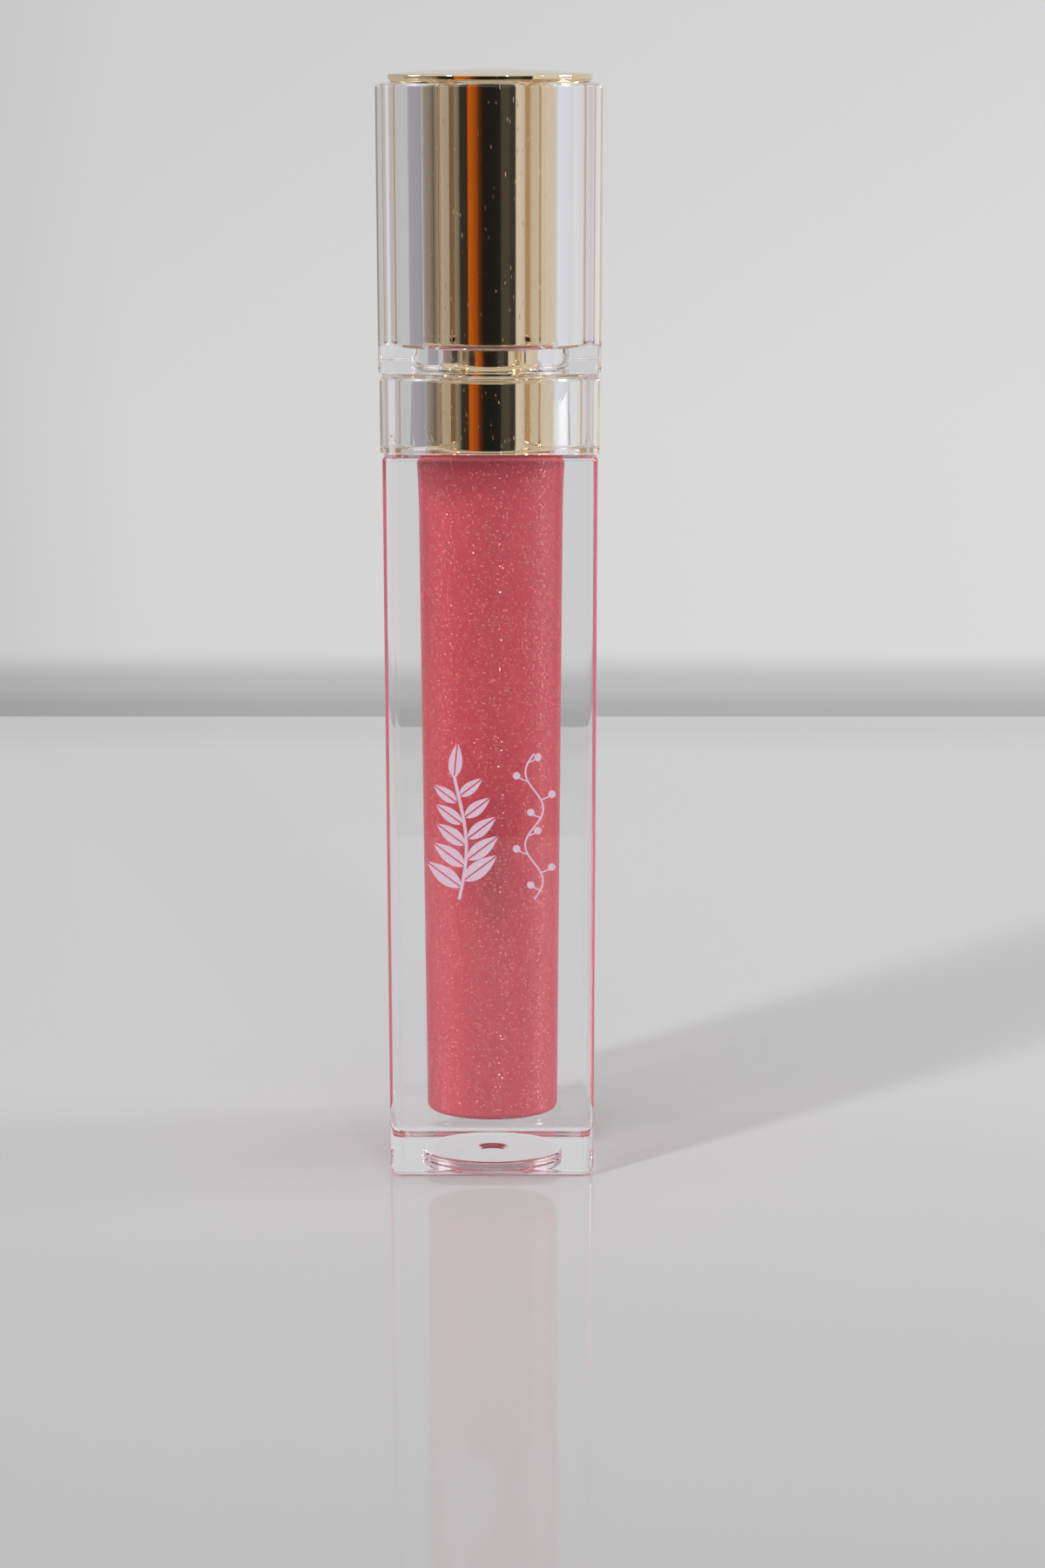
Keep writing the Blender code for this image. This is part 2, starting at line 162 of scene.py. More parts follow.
wire(
    tree,
    (coordinates, "Object", cloud, "Vector"),
    (coordinates, "Object", axes, "Vector"),
    (axes, "Y", depth, "Value"),
    (depth, "Result", painted_falloff_tone, "Fac"),
    (cloud, "Fac", tone, "Fac"),
    (tone, "Color", laminate_with_painted_shade, "A"),
    (painted_falloff_tone, "Color", laminate_with_painted_shade, "B"),
    (laminate_with_painted_shade, "Result", shader, "Base Color"),
)
board.data.materials.append(board_material)

wall_distance = 0.30
wall_low, wall_high = -0.35, 0.75
wall_width = 1.6
deselect()
bpy.ops.mesh.primitive_plane_add(
    size=1.0, location=(0, wall_distance, (wall_low + wall_high) / 2), rotation=(math.radians(90), 0, 0)
)
wall = bpy.context.active_object
wall.name = "pale_wall"
wall.scale = (wall_width, wall_high - wall_low, 1.0)
place_in_mesh(wall)
# The wall is painted light: its paint is nearly black and it glows instead, in a painted tone that is darker
# to the left and dimmer higher up.
wall_material, tree, shader = new_material("pale_wall_painted_light")
shader.inputs["Roughness"].default_value = 0.9
shader.inputs["Base Color"].default_value = (0.02, 0.02, 0.02, 1.0)
coordinates = new_node(tree, "TexCoord")
axes = new_node(tree, "SeparateXYZ")
# A painted shadow: a darker band in the glow at the wall's foot, in the gap behind the board's far edge.
painted_gap_shadow = map_range(tree, (-0.0205, -0.0135), smooth=True)
across = map_range(tree, (-0.13, 0.10))
painted_wall_light_tone = ramp_node(tree, [(0.0, grey(0.50)), (0.25, grey(0.62)), (1.0, grey(0.675))])
painted_gap_shadow_tone = ramp_node(tree, [(0.0, grey(0.36)), (0.35, grey(0.45)), (1.0, grey(0.50))])
painted = new_node(tree, "Mix", data_type="RGBA")
falling_light = map_range(tree, (0.03, 0.15), (1.0, 0.90))
wire(
    tree,
    (coordinates, "Object", axes, "Vector"),
    (axes, "Z", painted_gap_shadow, "Value"),
    (axes, "X", across, "Value"),
    (across, "Result", painted_wall_light_tone, "Fac"),
    (across, "Result", painted_gap_shadow_tone, "Fac"),
    (painted_gap_shadow, "Result", painted, "Factor"),
    (painted_gap_shadow_tone, "Color", painted, "A"),
    (painted_wall_light_tone, "Color", painted, "B"),
    (painted, "Result", shader, "Emission Color"),
)
# Painted shade: the glow fades further at the very foot of the wall.
foot_shade = map_range(tree, (-0.0260, -0.0205), (0.82, 1.0), smooth=True)
wall_light = new_node(tree, "Math", operation="MULTIPLY")
wire(
    tree,
    (axes, "Z", falling_light, "Value"),
    (axes, "Z", foot_shade, "Value"),
    (falling_light, "Result", wall_light, 0),
    (foot_shade, "Result", wall_light, 1),
    (wall_light, 0, shader, "Emission Strength"),
)
wall.data.materials.append(wall_material)

world = bpy.data.worlds.new("studio_room")
bpy.context.scene.world = world
world.use_nodes = True
tree = world.node_tree
background = tree.nodes["Background"]
coordinates = new_node(tree, "TexCoord")
axes = new_node(tree, "SeparateXYZ")
flip = new_node(tree, "Math", {1: -1.0}, operation="MULTIPLY")
azimuth = new_node(tree, "Math", operation="ARCTAN2")
turn_share = map_range(tree, (-math.pi, math.pi))


def share_of_turn(degrees):
    """Where an azimuth lies on the ramp round the room: 0 is in front of the tube, + to the right."""
    return (degrees + 180) / 360


room = ramp_node(
    tree,
    [
        (share_of_turn(-180), grey(0.60)),
        (share_of_turn(-125), grey(0.50)),
        (share_of_turn(-116), grey(0.46)),
        (share_of_turn(-106), (0.37, 0.34, 0.38)),
        (share_of_turn(-86), (0.35, 0.325, 0.35)),
        (share_of_turn(-74), grey(0.29)),
        (share_of_turn(-63), grey(0.19)),
        (share_of_turn(-58), grey(0.025)),
        (share_of_turn(-41), grey(0.018)),
        (share_of_turn(-38.5), (0.62, 0.15, 0.008)),
        (share_of_turn(-24), (0.40, 0.08, 0.006)),
        (share_of_turn(-18), (0.08, 0.035, 0.02)),
        (share_of_turn(-12), grey(0.014)),
        (share_of_turn(17), grey(0.018)),
        (share_of_turn(21), grey(0.06)),
        (share_of_turn(33), grey(0.065)),
        (share_of_turn(38), grey(0.022)),
        (share_of_turn(48), grey(0.022)),
        (share_of_turn(50), (0.80, 0.80, 0.86)),
        (share_of_turn(150), (0.62, 0.62, 0.64)),
        (share_of_turn(180), grey(0.60)),
    ],
)
height_share = map_range(tree, (0.10, 0.30))
ceiling = new_node(tree, "Mix", {"B": (0.80, 0.80, 0.82, 1.0)}, data_type="RGBA")
seen = new_node(tree, "LightPath")
backdrop = new_node(tree, "Mix", {"B": (0.66, 0.66, 0.66, 1.0)}, data_type="RGBA")
wire(
    tree,
    (coordinates, "Generated", axes, "Vector"),
    (axes, "Y", flip, 0),
    (axes, "X", azimuth, 0),
    (flip, 0, azimuth, 1),
    (azimuth, 0, turn_share, "Value"),
    (turn_share, "Result", room, "Fac"),
    (axes, "Z", height_share, "Value"),
    (height_share, "Result", ceiling, "Factor"),
    (room, "Color", ceiling, "A"),
    (seen, "Is Camera Ray", backdrop, "Factor"),
    (ceiling, "Result", backdrop, "A"),
    (backdrop, "Result", background, "Color"),
)
background.inputs["Strength"].default_value = 1.0


def lamp(name, azimuth_deg, height_deg, distance, size, watts):
    """A square lamp aimed at the middle of the tube from an azimuth and a height."""
    turn, rise = math.radians(azimuth_deg), math.radians(height_deg)
    aim = Vector((0.0, 0.0, 0.05))
    away = Vector((math.sin(turn) * math.cos(rise), -math.cos(turn) * math.cos(rise), math.sin(rise)))
    data = bpy.data.lights.new(name, "AREA")
    data.shape = "DISK"
    data.size = size
    data.energy = watts
    lamp_object = bpy.data.objects.new(name, data)
    bpy.context.scene.collection.objects.link(lamp_object)
    lamp_object.location = aim + away * distance
    lamp_object.rotation_euler = (-away).to_track_quat("-Z", "Y").to_euler()
    return lamp_object


lamp("key_left", azimuth_deg=-51.4, height_deg=38, distance=0.9, size=0.08, watts=4.2)
lamp("spot_right", azimuth_deg=19.5, height_deg=15, distance=0.9, size=0.03, watts=1.0)
for side_name, side_azimuth, side_watts in (("soft_left", -95, 0.5), ("soft_right", 95, 2.4)):
    side_lamp = lamp(side_name, side_azimuth, height_deg=17, distance=0.7, size=0.24, watts=side_watts)
    side_lamp.visible_transmission = False

camera_data = bpy.data.cameras.new("camera")
camera = bpy.data.objects.new("camera", camera_data)
bpy.context.scene.collection.objects.link(camera)
bpy.context.scene.camera = camera
camera_data.sensor_width = 36.0
camera_data.lens = 67.4
camera_data.clip_start = 0.01
camera_data.clip_end = 20.0
camera.location = (2.84 * MM, -264.7 * MM, 102.8 * MM)
camera.rotation_euler = (math.radians(90 - 14.31), 0.0, 0.0)
bpy.context.scene.view_settings.view_transform = "Standard"


# ---------------------------------------------------------------------------------------------
# Bottle. Injection-moulded in clear, thick-walled plastic: a square block with a round drafted
# cavity, a short plain mouth with a snap bead, and a shallow round recess with the gate's stub
# in its foot.
# ---------------------------------------------------------------------------------------------
ROUND = 160


def arc(centre_radius, centre_z, radius, start_deg, end_deg, steps=6):
    """Points of a round stretch of a turned outline."""
    points = []
    for step in range(steps + 1):
        angle = math.radians(start_deg + (end_deg - start_deg) * step / steps)
        points.append((centre_radius + radius * math.cos(angle), centre_z + radius * math.sin(angle)))
    return points


def extrude(x, y, z):
    """Extrude what is selected by a step."""
    bpy.ops.mesh.extrude_region_move(TRANSFORM_OT_translate={"value": (x, y, z)})


def resize(x, y, z, centre):
    """Scale what is selected about a centre."""
    bpy.ops.transform.resize(value=(x, y, z), center_override=centre)


def close_outwards():
    """Turn every face outwards and leave edit mode."""
    bpy.ops.mesh.select_all(action="SELECT")
    bpy.ops.mesh.normals_make_consistent(inside=False)
    bpy.ops.object.mode_set(mode="OBJECT")


def turned(name, outline, ends="flat", segments=ROUND):
    """A round piece: a circle extruded and resized from ring to ring down its outline.

    ends is flat to fill the first and last ring, or ring where the outline comes back to its start.
    """
    deselect()
    radius, z = outline[0]
    bpy.ops.mesh.primitive_circle_add(vertices=segments, radius=radius, location=(0, 0, z))
    piece = bpy.context.active_object
    piece.name = name
    piece.data.name = name
    place_in_mesh(piece)
    bpy.ops.object.mode_set(mode="EDIT")
    bpy.ops.mesh.select_all(action="SELECT")
    if ends == "flat":
        bpy.ops.mesh.edge_face_add()
    for next_radius, next_z in outline[1:]:
        extrude(0, 0, next_z - z)
        if abs(next_radius - radius) > 1e-9:
            share = next_radius / radius
            resize(share, share, 1.0, (0, 0, next_z))
        radius, z = next_radius, next_z
    bpy.ops.mesh.select_all(action="SELECT")
    bpy.ops.mesh.remove_doubles(threshold=1e-6)
    close_outwards()
    return piece


def square_block(name, low_z, high_z, low_width, high_width, upright_radius, foot_radius, top_radius):
    """A square moulding: a cube with draft, rounded uprights and softened ends."""
    deselect()
    middle = (low_z + high_z) / 2
    bpy.ops.mesh.primitive_cube_add(
        size=1.0, location=(0, 0, middle), scale=(low_width, low_width, high_z - low_z)
    )
    piece = bpy.context.active_object
    piece.name = name
    piece.data.name = name
    place_in_mesh(piece)
    for vert in piece.data.vertices:
        vert.select = vert.co.z > middle
    bpy.ops.object.mode_set(mode="EDIT")
    bpy.ops.mesh.select_mode(type="VERT")
    share = high_width / low_width
    resize(share, share, 1.0, (0, 0, high_z))
    bpy.ops.mesh.select_all(action="DESELECT")
    bpy.ops.mesh.select_mode(type="EDGE")
    bpy.ops.object.mode_set(mode="OBJECT")
    for edge in piece.data.edges:
        first, second = (piece.data.vertices[index].co for index in edge.vertices)
        edge.select = abs(first.z - second.z) > (high_z - low_z) / 2
    bpy.ops.object.mode_set(mode="EDIT")
    bpy.ops.mesh.bevel(offset=upright_radius, segments=10, affect="EDGES")
    for level, radius in ((low_z, foot_radius), (high_z, top_radius)):
        bpy.ops.mesh.select_all(action="DESELECT")
        bpy.ops.object.mode_set(mode="OBJECT")
        for edge in piece.data.edges:
            first, second = (piece.data.vertices[index].co for index in edge.vertices)
            edge.select = abs(first.z - level) < 1e-6 and abs(second.z - level) < 1e-6
        bpy.ops.object.mode_set(mode="EDIT")
        bpy.ops.mesh.bevel(offset=radius, segments=6, affect="EDGES")
    bpy.ops.object.mode_set(mode="OBJECT")
    return piece


def combine(piece, operation, tool):
    """Cut a tool out of a piece or join it on, and remove the tool."""
    pick(piece)
    modifier = piece.modifiers.new(operation, "BOOLEAN")
    modifier.operation = operation
    modifier.solver = "EXACT"
    modifier.object = tool
    bpy.ops.object.modifier_apply(modifier=modifier.name)
    bpy.data.objects.remove(tool, do_unlink=True)


def finish_shading(piece, angle_deg=32):
    """Smooth shading that keeps flats flat and sharp edges sharp."""
    pick(piece)
    bpy.ops.object.shade_smooth_by_angle(angle=math.radians(angle_deg))
    modifier = piece.modifiers.new("Weighted Normal", "WEIGHTED_NORMAL")
    modifier.keep_sharp = True
    modifier.weight = 80
    bpy.ops.object.modifier_apply(modifier=modifier.name)


def settle(piece, body, slot, material, *replaced):
    """Give a finished piece its material, its body and the solids that it stands for. slot is not used."""
    piece.data.materials.clear()
    piece.data.materials.append(material)
    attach(piece, body)
    if replaced:
        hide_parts(*replaced)


def hairline_group():
    """Hairline handling scratches as a mask from 0 to 1: many short ticks and a few long ones."""
    group = bpy.data.node_groups.new("hairline_scratches", "ShaderNodeTree")
    group.interface.new_socket("Vector", in_out="INPUT", socket_type="NodeSocketVector")
    group.interface.new_socket("Spread", in_out="INPUT", socket_type="NodeSocketFloat")
    group.interface.new_socket("Mask", in_out="OUTPUT", socket_type="NodeSocketFloat")
    entry = group.nodes.new("NodeGroupInput")
    result = group.nodes.new("NodeGroupOutput")
    total = None
    for lean_deg, scale, stretch in ((24, 5200.0, 5.0), (82, 4400.0, 6.0), (68, 900.0, 40.0)):
        lean = new_node(
            group,
            "Mapping",
            {"Rotation": (0.0, math.radians(lean_deg), 0.0), "Scale": (1.0, 1.0, 1.0 / stretch)},
        )
        cells = new_node(group, "TexVoronoi", {"Scale": scale}, feature="F1")
        tick = map_range(group, (0.22, 0.10))
        lottery = new_node(group, "SeparateColor")
        drawn = new_node(group, "Math", operation="LESS_THAN")
        kept = new_node(group, "Math", operation="MULTIPLY")
        wire(
            group,
            (entry, "Vector", lean, "Vector"),
            (lean, "Vector", cells, "Vector"),
            (cells, "Distance", tick, "Value"),
            (cells, "Color", lottery, "Color"),
            (lottery, "Red", drawn, 0),
            (entry, "Spread", drawn, 1),
            (tick, "Result", kept, 0),
            (drawn, 0, kept, 1),
        )
        if total is None:
            total = kept
        else:
            both = new_node(group, "Math", operation="MAXIMUM")
            wire(
                group,
                (total, 0, both, 0),
                (kept, 0, both, 1),
            )
            total = both
    wire(group, (total, 0, result, "Mask"))
    return group


hairlines = hairline_group()


def placed_hairlines(tree, coordinates, spread):
    """The hairline group in a material, on its Object coordinates; spread is the share that is scratched."""
    node = new_node(tree, "Group", {"Spread": spread}, node_tree=hairlines)
    wire(tree, (coordinates, "Object", node, "Vector"))
    return node


def clear_plastic(name, tint, ior, shade, stray):
    """Clear moulded plastic, faintly tinted, with hairline marks.

    Lamps shine straight through it, dimmed by shade. A ray that has been reflected inside it a
    few times is let straight out, tinged with the stray colour: a painted tint that stands in for
    the reflections such a ray would have picked up.
    """
    reflection_limit, step_limit = 2.5, 7.5
    material, tree, shader = new_material(name)
    shader.inputs["Base Color"].default_value = (*tint, 1.0)
    shader.inputs["Transmission Weight"].default_value = 1.0
    shader.inputs["IOR"].default_value = ior
    coordinates = new_node(tree, "TexCoord")
    marks = placed_hairlines(tree, coordinates, 0.05)
    polish = map_range(tree, to_range=(0.0, 0.12))
    groove = new_node(tree, "Bump", {"Strength": 0.06, "Distance": 0.00002})
    let_through = new_node(tree, "BsdfTransparent", {"Color": (*shade, 1.0)})
    ray = new_node(tree, "LightPath")
    lit_through = new_node(tree, "MixShader")
    many_reflections = new_node(tree, "Math", {1: reflection_limit}, operation="GREATER_THAN")
    many_steps = new_node(tree, "Math", {1: step_limit}, operation="GREATER_THAN")
    is_stray = new_node(tree, "Math", operation="MAXIMUM")
    let_out = new_node(tree, "BsdfTransparent", {"Color": (*stray, 1.0)})
    surface = new_node(tree, "MixShader")
    output = tree.nodes["Material Output"]
    wire(
        tree,
        (marks, "Mask", polish, "Value"),
        (polish, "Result", shader, "Roughness"),
        (marks, "Mask", groove, "Height"),
        (groove, "Normal", shader, "Normal"),
        (ray, "Is Shadow Ray", lit_through, "Fac"),
        (shader, "BSDF", lit_through, 1),
        (let_through, "BSDF", lit_through, 2),
        (ray, "Glossy Depth", many_reflections, 0),
        (ray, "Ray Depth", many_steps, 0),
        (many_reflections, 0, is_stray, 0),
        (many_steps, 0, is_stray, 1),
        (is_stray, 0, surface, "Fac"),
        (lit_through, "Shader", surface, 1),
        (let_out, "BSDF", surface, 2),
        (surface, "Shader", output, "Surface"),
    )
    return material


bottle_low, bottle_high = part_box("bottle")
bottle_width = bottle_high.x - bottle_low.x
collar_low, collar_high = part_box("collar_shell")
shoulder_z = collar_low.z - 0.3 * MM
gloss_low, gloss_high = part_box("gloss_fill")
wall_gap = 0.3 * MM
mouth_radius = gloss_high.x + wall_gap
cavity_floor = gloss_low.z - wall_gap
floor_radius = mouth_radius - 0.57 * MM
waist_radius = mouth_radius - 0.23 * MM
waist_z = shoulder_z - 7.0 * MM
floor_fillet = 0.6 * MM

bottle = square_block(
    "bottle_body",
    0.0,
    shoulder_z,
    bottle_width,
    bottle_width,
    upright_radius=1.0 * MM,
    foot_radius=0.8 * MM,
    top_radius=0.3 * MM,
)
mouth_wall = 7.5 * MM
bead_z = shoulder_z + 3.2 * MM
mouth = turned(
    "mouth",
    [
        (mouth_wall, shoulder_z - 1.0 * MM),
        (mouth_wall, bead_z - 0.3 * MM),
        (mouth_wall + 0.12 * MM, bead_z - 0.1 * MM),
        (mouth_wall + 0.12 * MM, bead_z + 0.1 * MM),
        (mouth_wall, bead_z + 0.3 * MM),
        (mouth_wall, bottle_high.z - 0.3 * MM),
        (mouth_wall - 0.3 * MM, bottle_high.z),
    ],
)
combine(bottle, "UNION", mouth)


def cavity_outline(growth):
    """Outline of the drafted cavity from its floor up, grown outwards by a small amount."""
    foot = arc(
        floor_radius - floor_fillet, cavity_floor + floor_fillet, floor_fillet + growth, -90, 0, steps=8
    )
    flare = []
    flare_steps = 8
    for step in range(1, flare_steps + 1):
        share = step / flare_steps
        radius = waist_radius + (mouth_radius - waist_radius) * share * share
        flare.append((radius + growth, waist_z + (shoulder_z - waist_z) * share))
    return [*foot, (waist_radius + growth, waist_z), *flare]


cavity = turned("cavity", [*cavity_outline(0.0), (mouth_radius, bottle_high.z + 1.0 * MM)])
combine(bottle, "DIFFERENCE", cavity)
recess_radius = 6.6 * MM
recess_depth = 0.75 * MM
gate_ridge = recess_depth + 0.04 * MM
recess = turned(
    "recess",
    [
        (recess_radius + 0.4 * MM, -0.3 * MM),
        (recess_radius + 0.1 * MM, 0.0),
        (recess_radius, 0.12 * MM),
        *arc(recess_radius - 0.3 * MM, recess_depth - 0.3 * MM, 0.3 * MM, 0, 90, steps=5),
        (2.6 * MM, gate_ridge),
        (1.5 * MM, gate_ridge),
        (1.2 * MM, recess_depth - 0.22 * MM),
        (0.5 * MM, recess_depth - 0.28 * MM),
    ],
)
combine(bottle, "DIFFERENCE", recess)
finish_shading(bottle)
# Its stray tint is a painted pink reflection of the gloss.
bottle_plastic = clear_plastic(
    "bottle_clear_plastic",
    tint=(0.975, 0.97, 0.98),
    ior=1.57,
    shade=(0.42, 0.39, 0.41),
    stray=(0.80, 0.62, 0.68),
)
settle(bottle, "tube", "bottle_clear", bottle_plastic, "bottle")


# ---------------------------------------------------------------------------------------------
# Gloss. A thick rose liquid full of fine pearl flakes that lie along the wall and glint. It
# wets the cavity's wall, so it is grown a hair into the plastic and no air shows between them.
# ---------------------------------------------------------------------------------------------
wetting = 0.02 * MM
channel_radius = 2.1 * MM
channel_floor = 10.8 * MM
gloss = turned(
    "gloss_liquid",
    [
        *cavity_outline(wetting),
        (mouth_radius + wetting, gloss_high.z),
        (channel_radius, gloss_high.z),
        (channel_radius, channel_floor),
    ],
)
finish_shading(gloss)
gloss_material, tree, shader = new_material("rose_pearl_gloss")
shader.inputs["IOR"].default_value = 1.6
coordinates = new_node(tree, "TexCoord")
cloud = new_node(tree, "TexNoise", {"Scale": 260.0, "Detail": 5.0})
stretch = new_node(tree, "Mapping", {"Scale": (1.0, 1.0, 0.35)})
tone = ramp_node(tree, [(0.3, (0.66, 0.080, 0.110)), (0.7, (0.71, 0.094, 0.126))])
flakes = new_node(tree, "TexVoronoi", {"Scale": 6000.0})
flake_share = new_node(tree, "SeparateColor")
drawn = new_node(tree, "Math", {1: 0.60}, operation="GREATER_THAN")
round_flake = map_range(tree, (0.48, 0.40))
is_flake = new_node(tree, "Math", operation="MULTIPLY")
flake_tone = new_node(tree, "Mix", {"B": (0.95, 0.31, 0.28, 1.0)}, data_type="RGBA")
flake_metal = map_range(tree, to_range=(0.0, 0.34))
flake_rough = map_range(tree, to_range=(0.38, 0.11))
tilt = new_node(tree, "VectorMath", {1: (0.5, 0.5, 0.5)}, operation="SUBTRACT")
tilt_reach = new_node(tree, "VectorMath", {1: (0.10, 0.10, 0.72)}, operation="MULTIPLY")
tilt_scale = new_node(tree, "VectorMath", operation="SCALE")
facing = new_node(tree, "NewGeometry")
tilted = new_node(tree, "VectorMath", operation="ADD")
unit = new_node(tree, "VectorMath", operation="NORMALIZE")
wire(
    tree,
    (coordinates, "Object", stretch, "Vector"),
    (stretch, "Vector", cloud, "Vector"),
    (cloud, "Fac", tone, "Fac"),
    (coordinates, "Object", flakes, "Vector"),
    (flakes, "Color", flake_share, "Color"),
    (flake_share, "Red", drawn, 0),
    (flakes, "Distance", round_flake, "Value"),
    (drawn, 0, is_flake, 0),
    (round_flake, "Result", is_flake, 1),
    (is_flake, 0, flake_tone, "Factor"),
    (tone, "Color", flake_tone, "A"),
    (flake_tone, "Result", shader, "Base Color"),
    (is_flake, 0, flake_metal, "Value"),
    (flake_metal, "Result", shader, "Metallic"),
    (is_flake, 0, flake_rough, "Value"),
    (flake_rough, "Result", shader, "Roughness"),
    (flakes, "Color", tilt, 0),
    (tilt, "Vector", tilt_reach, 0),
    (tilt_reach, "Vector", tilt_scale, 0),
    (is_flake, 0, tilt_scale, "Scale"),
    (tilt_scale, "Vector", tilted, 0),
    (facing, "Normal", tilted, 1),
    (tilted, "Vector", unit, 0),
    (unit, "Vector", shader, "Normal"),
)
settle(gloss, "tube", "gloss_pearl", gloss_material, "gloss_fill")


# ---------------------------------------------------------------------------------------------
# Print. A leafy sprig and a string of berries, pad-printed up the bottle's front face in pale
# lilac ink a few hundredths of a millimetre thick.
# ---------------------------------------------------------------------------------------------
ink_thickness = 0.03 * MM
ink_gap = 0.01 * MM
ink_front = bottle_low.y - ink_gap - ink_thickness
ink_pieces = []
rib_half_gap = 0.07 * MM


def edit(piece):
    """Open a piece in edit mode with all of it selected."""
    pick(piece)
    bpy.ops.object.mode_set(mode="EDIT")
    bpy.ops.mesh.select_all(action="SELECT")


def half_leaf(length, width, rib_gap):
    """One side of a printed leaf: a strip along +Z whose rows are drawn in to a leaf's edge."""
    rows = 12
    deselect()
    bpy.ops.mesh.primitive_plane_add(size=1.0, rotation=(math.radians(90), 0, 0))
    leaf = bpy.context.active_object
    leaf.scale = (width, length, 1.0)
    leaf.location = (rib_gap + width / 2, 0.0, length / 2)
    place_in_mesh(leaf)
    edit(leaf)
    bpy.ops.mesh.subdivide(number_cuts=rows - 1)
    bpy.ops.mesh.select_mode(type="VERT")
    for row in range(rows + 1):
        z = length * row / rows
        share = math.sin(math.pi * (row / rows) ** 0.8) ** 0.9 if 0 < row < rows else 0.02
        bpy.ops.mesh.select_all(action="DESELECT")
        bpy.ops.object.mode_set(mode="OBJECT")
        for vert in leaf.data.vertices:
            vert.select = abs(vert.co.z - z) < length / rows / 4
        bpy.ops.object.mode_set(mode="EDIT")
        resize(share, 1.0, 1.0, (rib_gap, 0, z))
    bpy.ops.mesh.select_all(action="SELECT")
    extrude(0, ink_thickness, 0)
    close_outwards()
    return leaf


def print_leaf(x, z, lean_deg, length, width):
    """Print a leaf with an open midrib, growing from (x, z) at a lean from upright."""
    for side in (1, -1):
        half = half_leaf(length, width, rib_half_gap)
        half.scale = (side, 1.0, 1.0)
        half.rotation_euler = (0.0, math.radians(lean_deg), 0.0)
        half.location = (x, ink_front, z)
        place_in_mesh(half)
        edit(half)
        close_outwards()
        ink_pieces.append(half)


def print_line(points, width):
    """Print a smooth line through (x, z) points."""
    deselect()
    curve = bpy.data.curves.new("ink_line", "CURVE")
    curve.dimensions = "3D"
    curve.bevel_depth = width / 2
    curve.bevel_resolution = 2
    curve.use_fill_caps = True
    spline = curve.splines.new("NURBS")
    spline.points.add(len(points) - 1)
    for point, (x, z) in zip(spline.points, points):
        point.co = (x, 0.0, z, 1.0)
    spline.use_endpoint_u = True
    spline.order_u = 4
    line = bpy.data.objects.new("ink_line", curve)
    bpy.context.scene.collection.objects.link(line)
    pick(line)
    bpy.ops.object.convert(target="MESH")
    line = bpy.context.active_object
    line.scale = (1.0, ink_thickness / width, 1.0)
    line.location = (0.0, ink_front + ink_thickness / 2, 0.0)
    place_in_mesh(line)
    ink_pieces.append(line)


def print_dot(x, z, radius):
    """Print a round berry."""
    deselect()
    bpy.ops.mesh.primitive_circle_add(
        vertices=28,
        radius=radius,
        fill_type="NGON",
        location=(x, ink_front, z),
        rotation=(math.radians(90), 0, 0),
    )
    dot = bpy.context.active_object
    place_in_mesh(dot)
    edit(dot)
    extrude(0, ink_thickness, 0)
    close_outwards()
    ink_pieces.append(dot)


sprig_foot = 26.9 * MM
sprig_height = 11.6 * MM
sprig_x = -2.9 * MM


def sprig_bend(share):
    """Sideways place of the sprig's stem at a share of its height."""
    return sprig_x + 0.7 * MM * math.sin(math.pi * 1.2 * share)


stem_points = [(sprig_bend(step / 8), sprig_foot + sprig_height * step / 8) for step in range(9)]
stalk_width = 0.30 * MM
print_line(stem_points, stalk_width)
leaf_pairs = 5
leaf_lean = 52
leaf_length, leaf_width = 3.9 * MM, 0.74 * MM
leaf_stagger = 0.6 * MM
for pair in range(leaf_pairs):
    share = (pair + 0.6) / (leaf_pairs + 0.4)
    size = 1.0 - 0.42 * share
    for side in (1, -1):
        lift = leaf_stagger if side > 0 else 0.0
        print_leaf(
            sprig_bend(share) + side * 0.15 * MM,
            sprig_foot + sprig_height * share * 0.92 + lift,
            side * leaf_lean,
            leaf_length * size,
            leaf_width * size,
        )
print_leaf(sprig_bend(1.0), sprig_foot + sprig_height - 0.2 * MM, 6, 3.1 * MM, 0.55 * MM)

tendril_x = 3.9 * MM
tendril_swing = 0.9 * MM
tendril_height = 13.6 * MM
tendril_width = 0.16 * MM
tendril_steps = 16


def tendril_sway(share):
    """Sideways place of the tendril at a share of its height, over two full swings."""
    return tendril_swing * math.sin(2 * math.pi * 2.0 * share)


tendril = []
for step in range(tendril_steps + 1):
    share = step / tendril_steps
    tendril.append((tendril_x + tendril_sway(share), sprig_foot + tendril_height * share))
print_line(tendril, tendril_width)
buds = 8
bud_reach, bud_rise = 0.95 * MM, 0.5 * MM
twig_reach, twig_rise = 0.5 * MM, 0.4 * MM
twig_width = 0.13 * MM
bud_radius = 0.34 * MM
for bud in range(buds):
    share = (bud + 0.5) / buds
    sway = tendril_sway(share)
    side = 1 if bud % 2 else -1
    bud_x = tendril_x + sway + side * bud_reach
    bud_z = sprig_foot + tendril_height * share + bud_rise
    twig = [
        (tendril_x + sway, bud_z - bud_rise),
        (tendril_x + sway + side * twig_reach, bud_z - twig_rise),
        (bud_x, bud_z),
    ]
    print_line(twig, twig_width)
    print_dot(bud_x, bud_z, bud_radius)

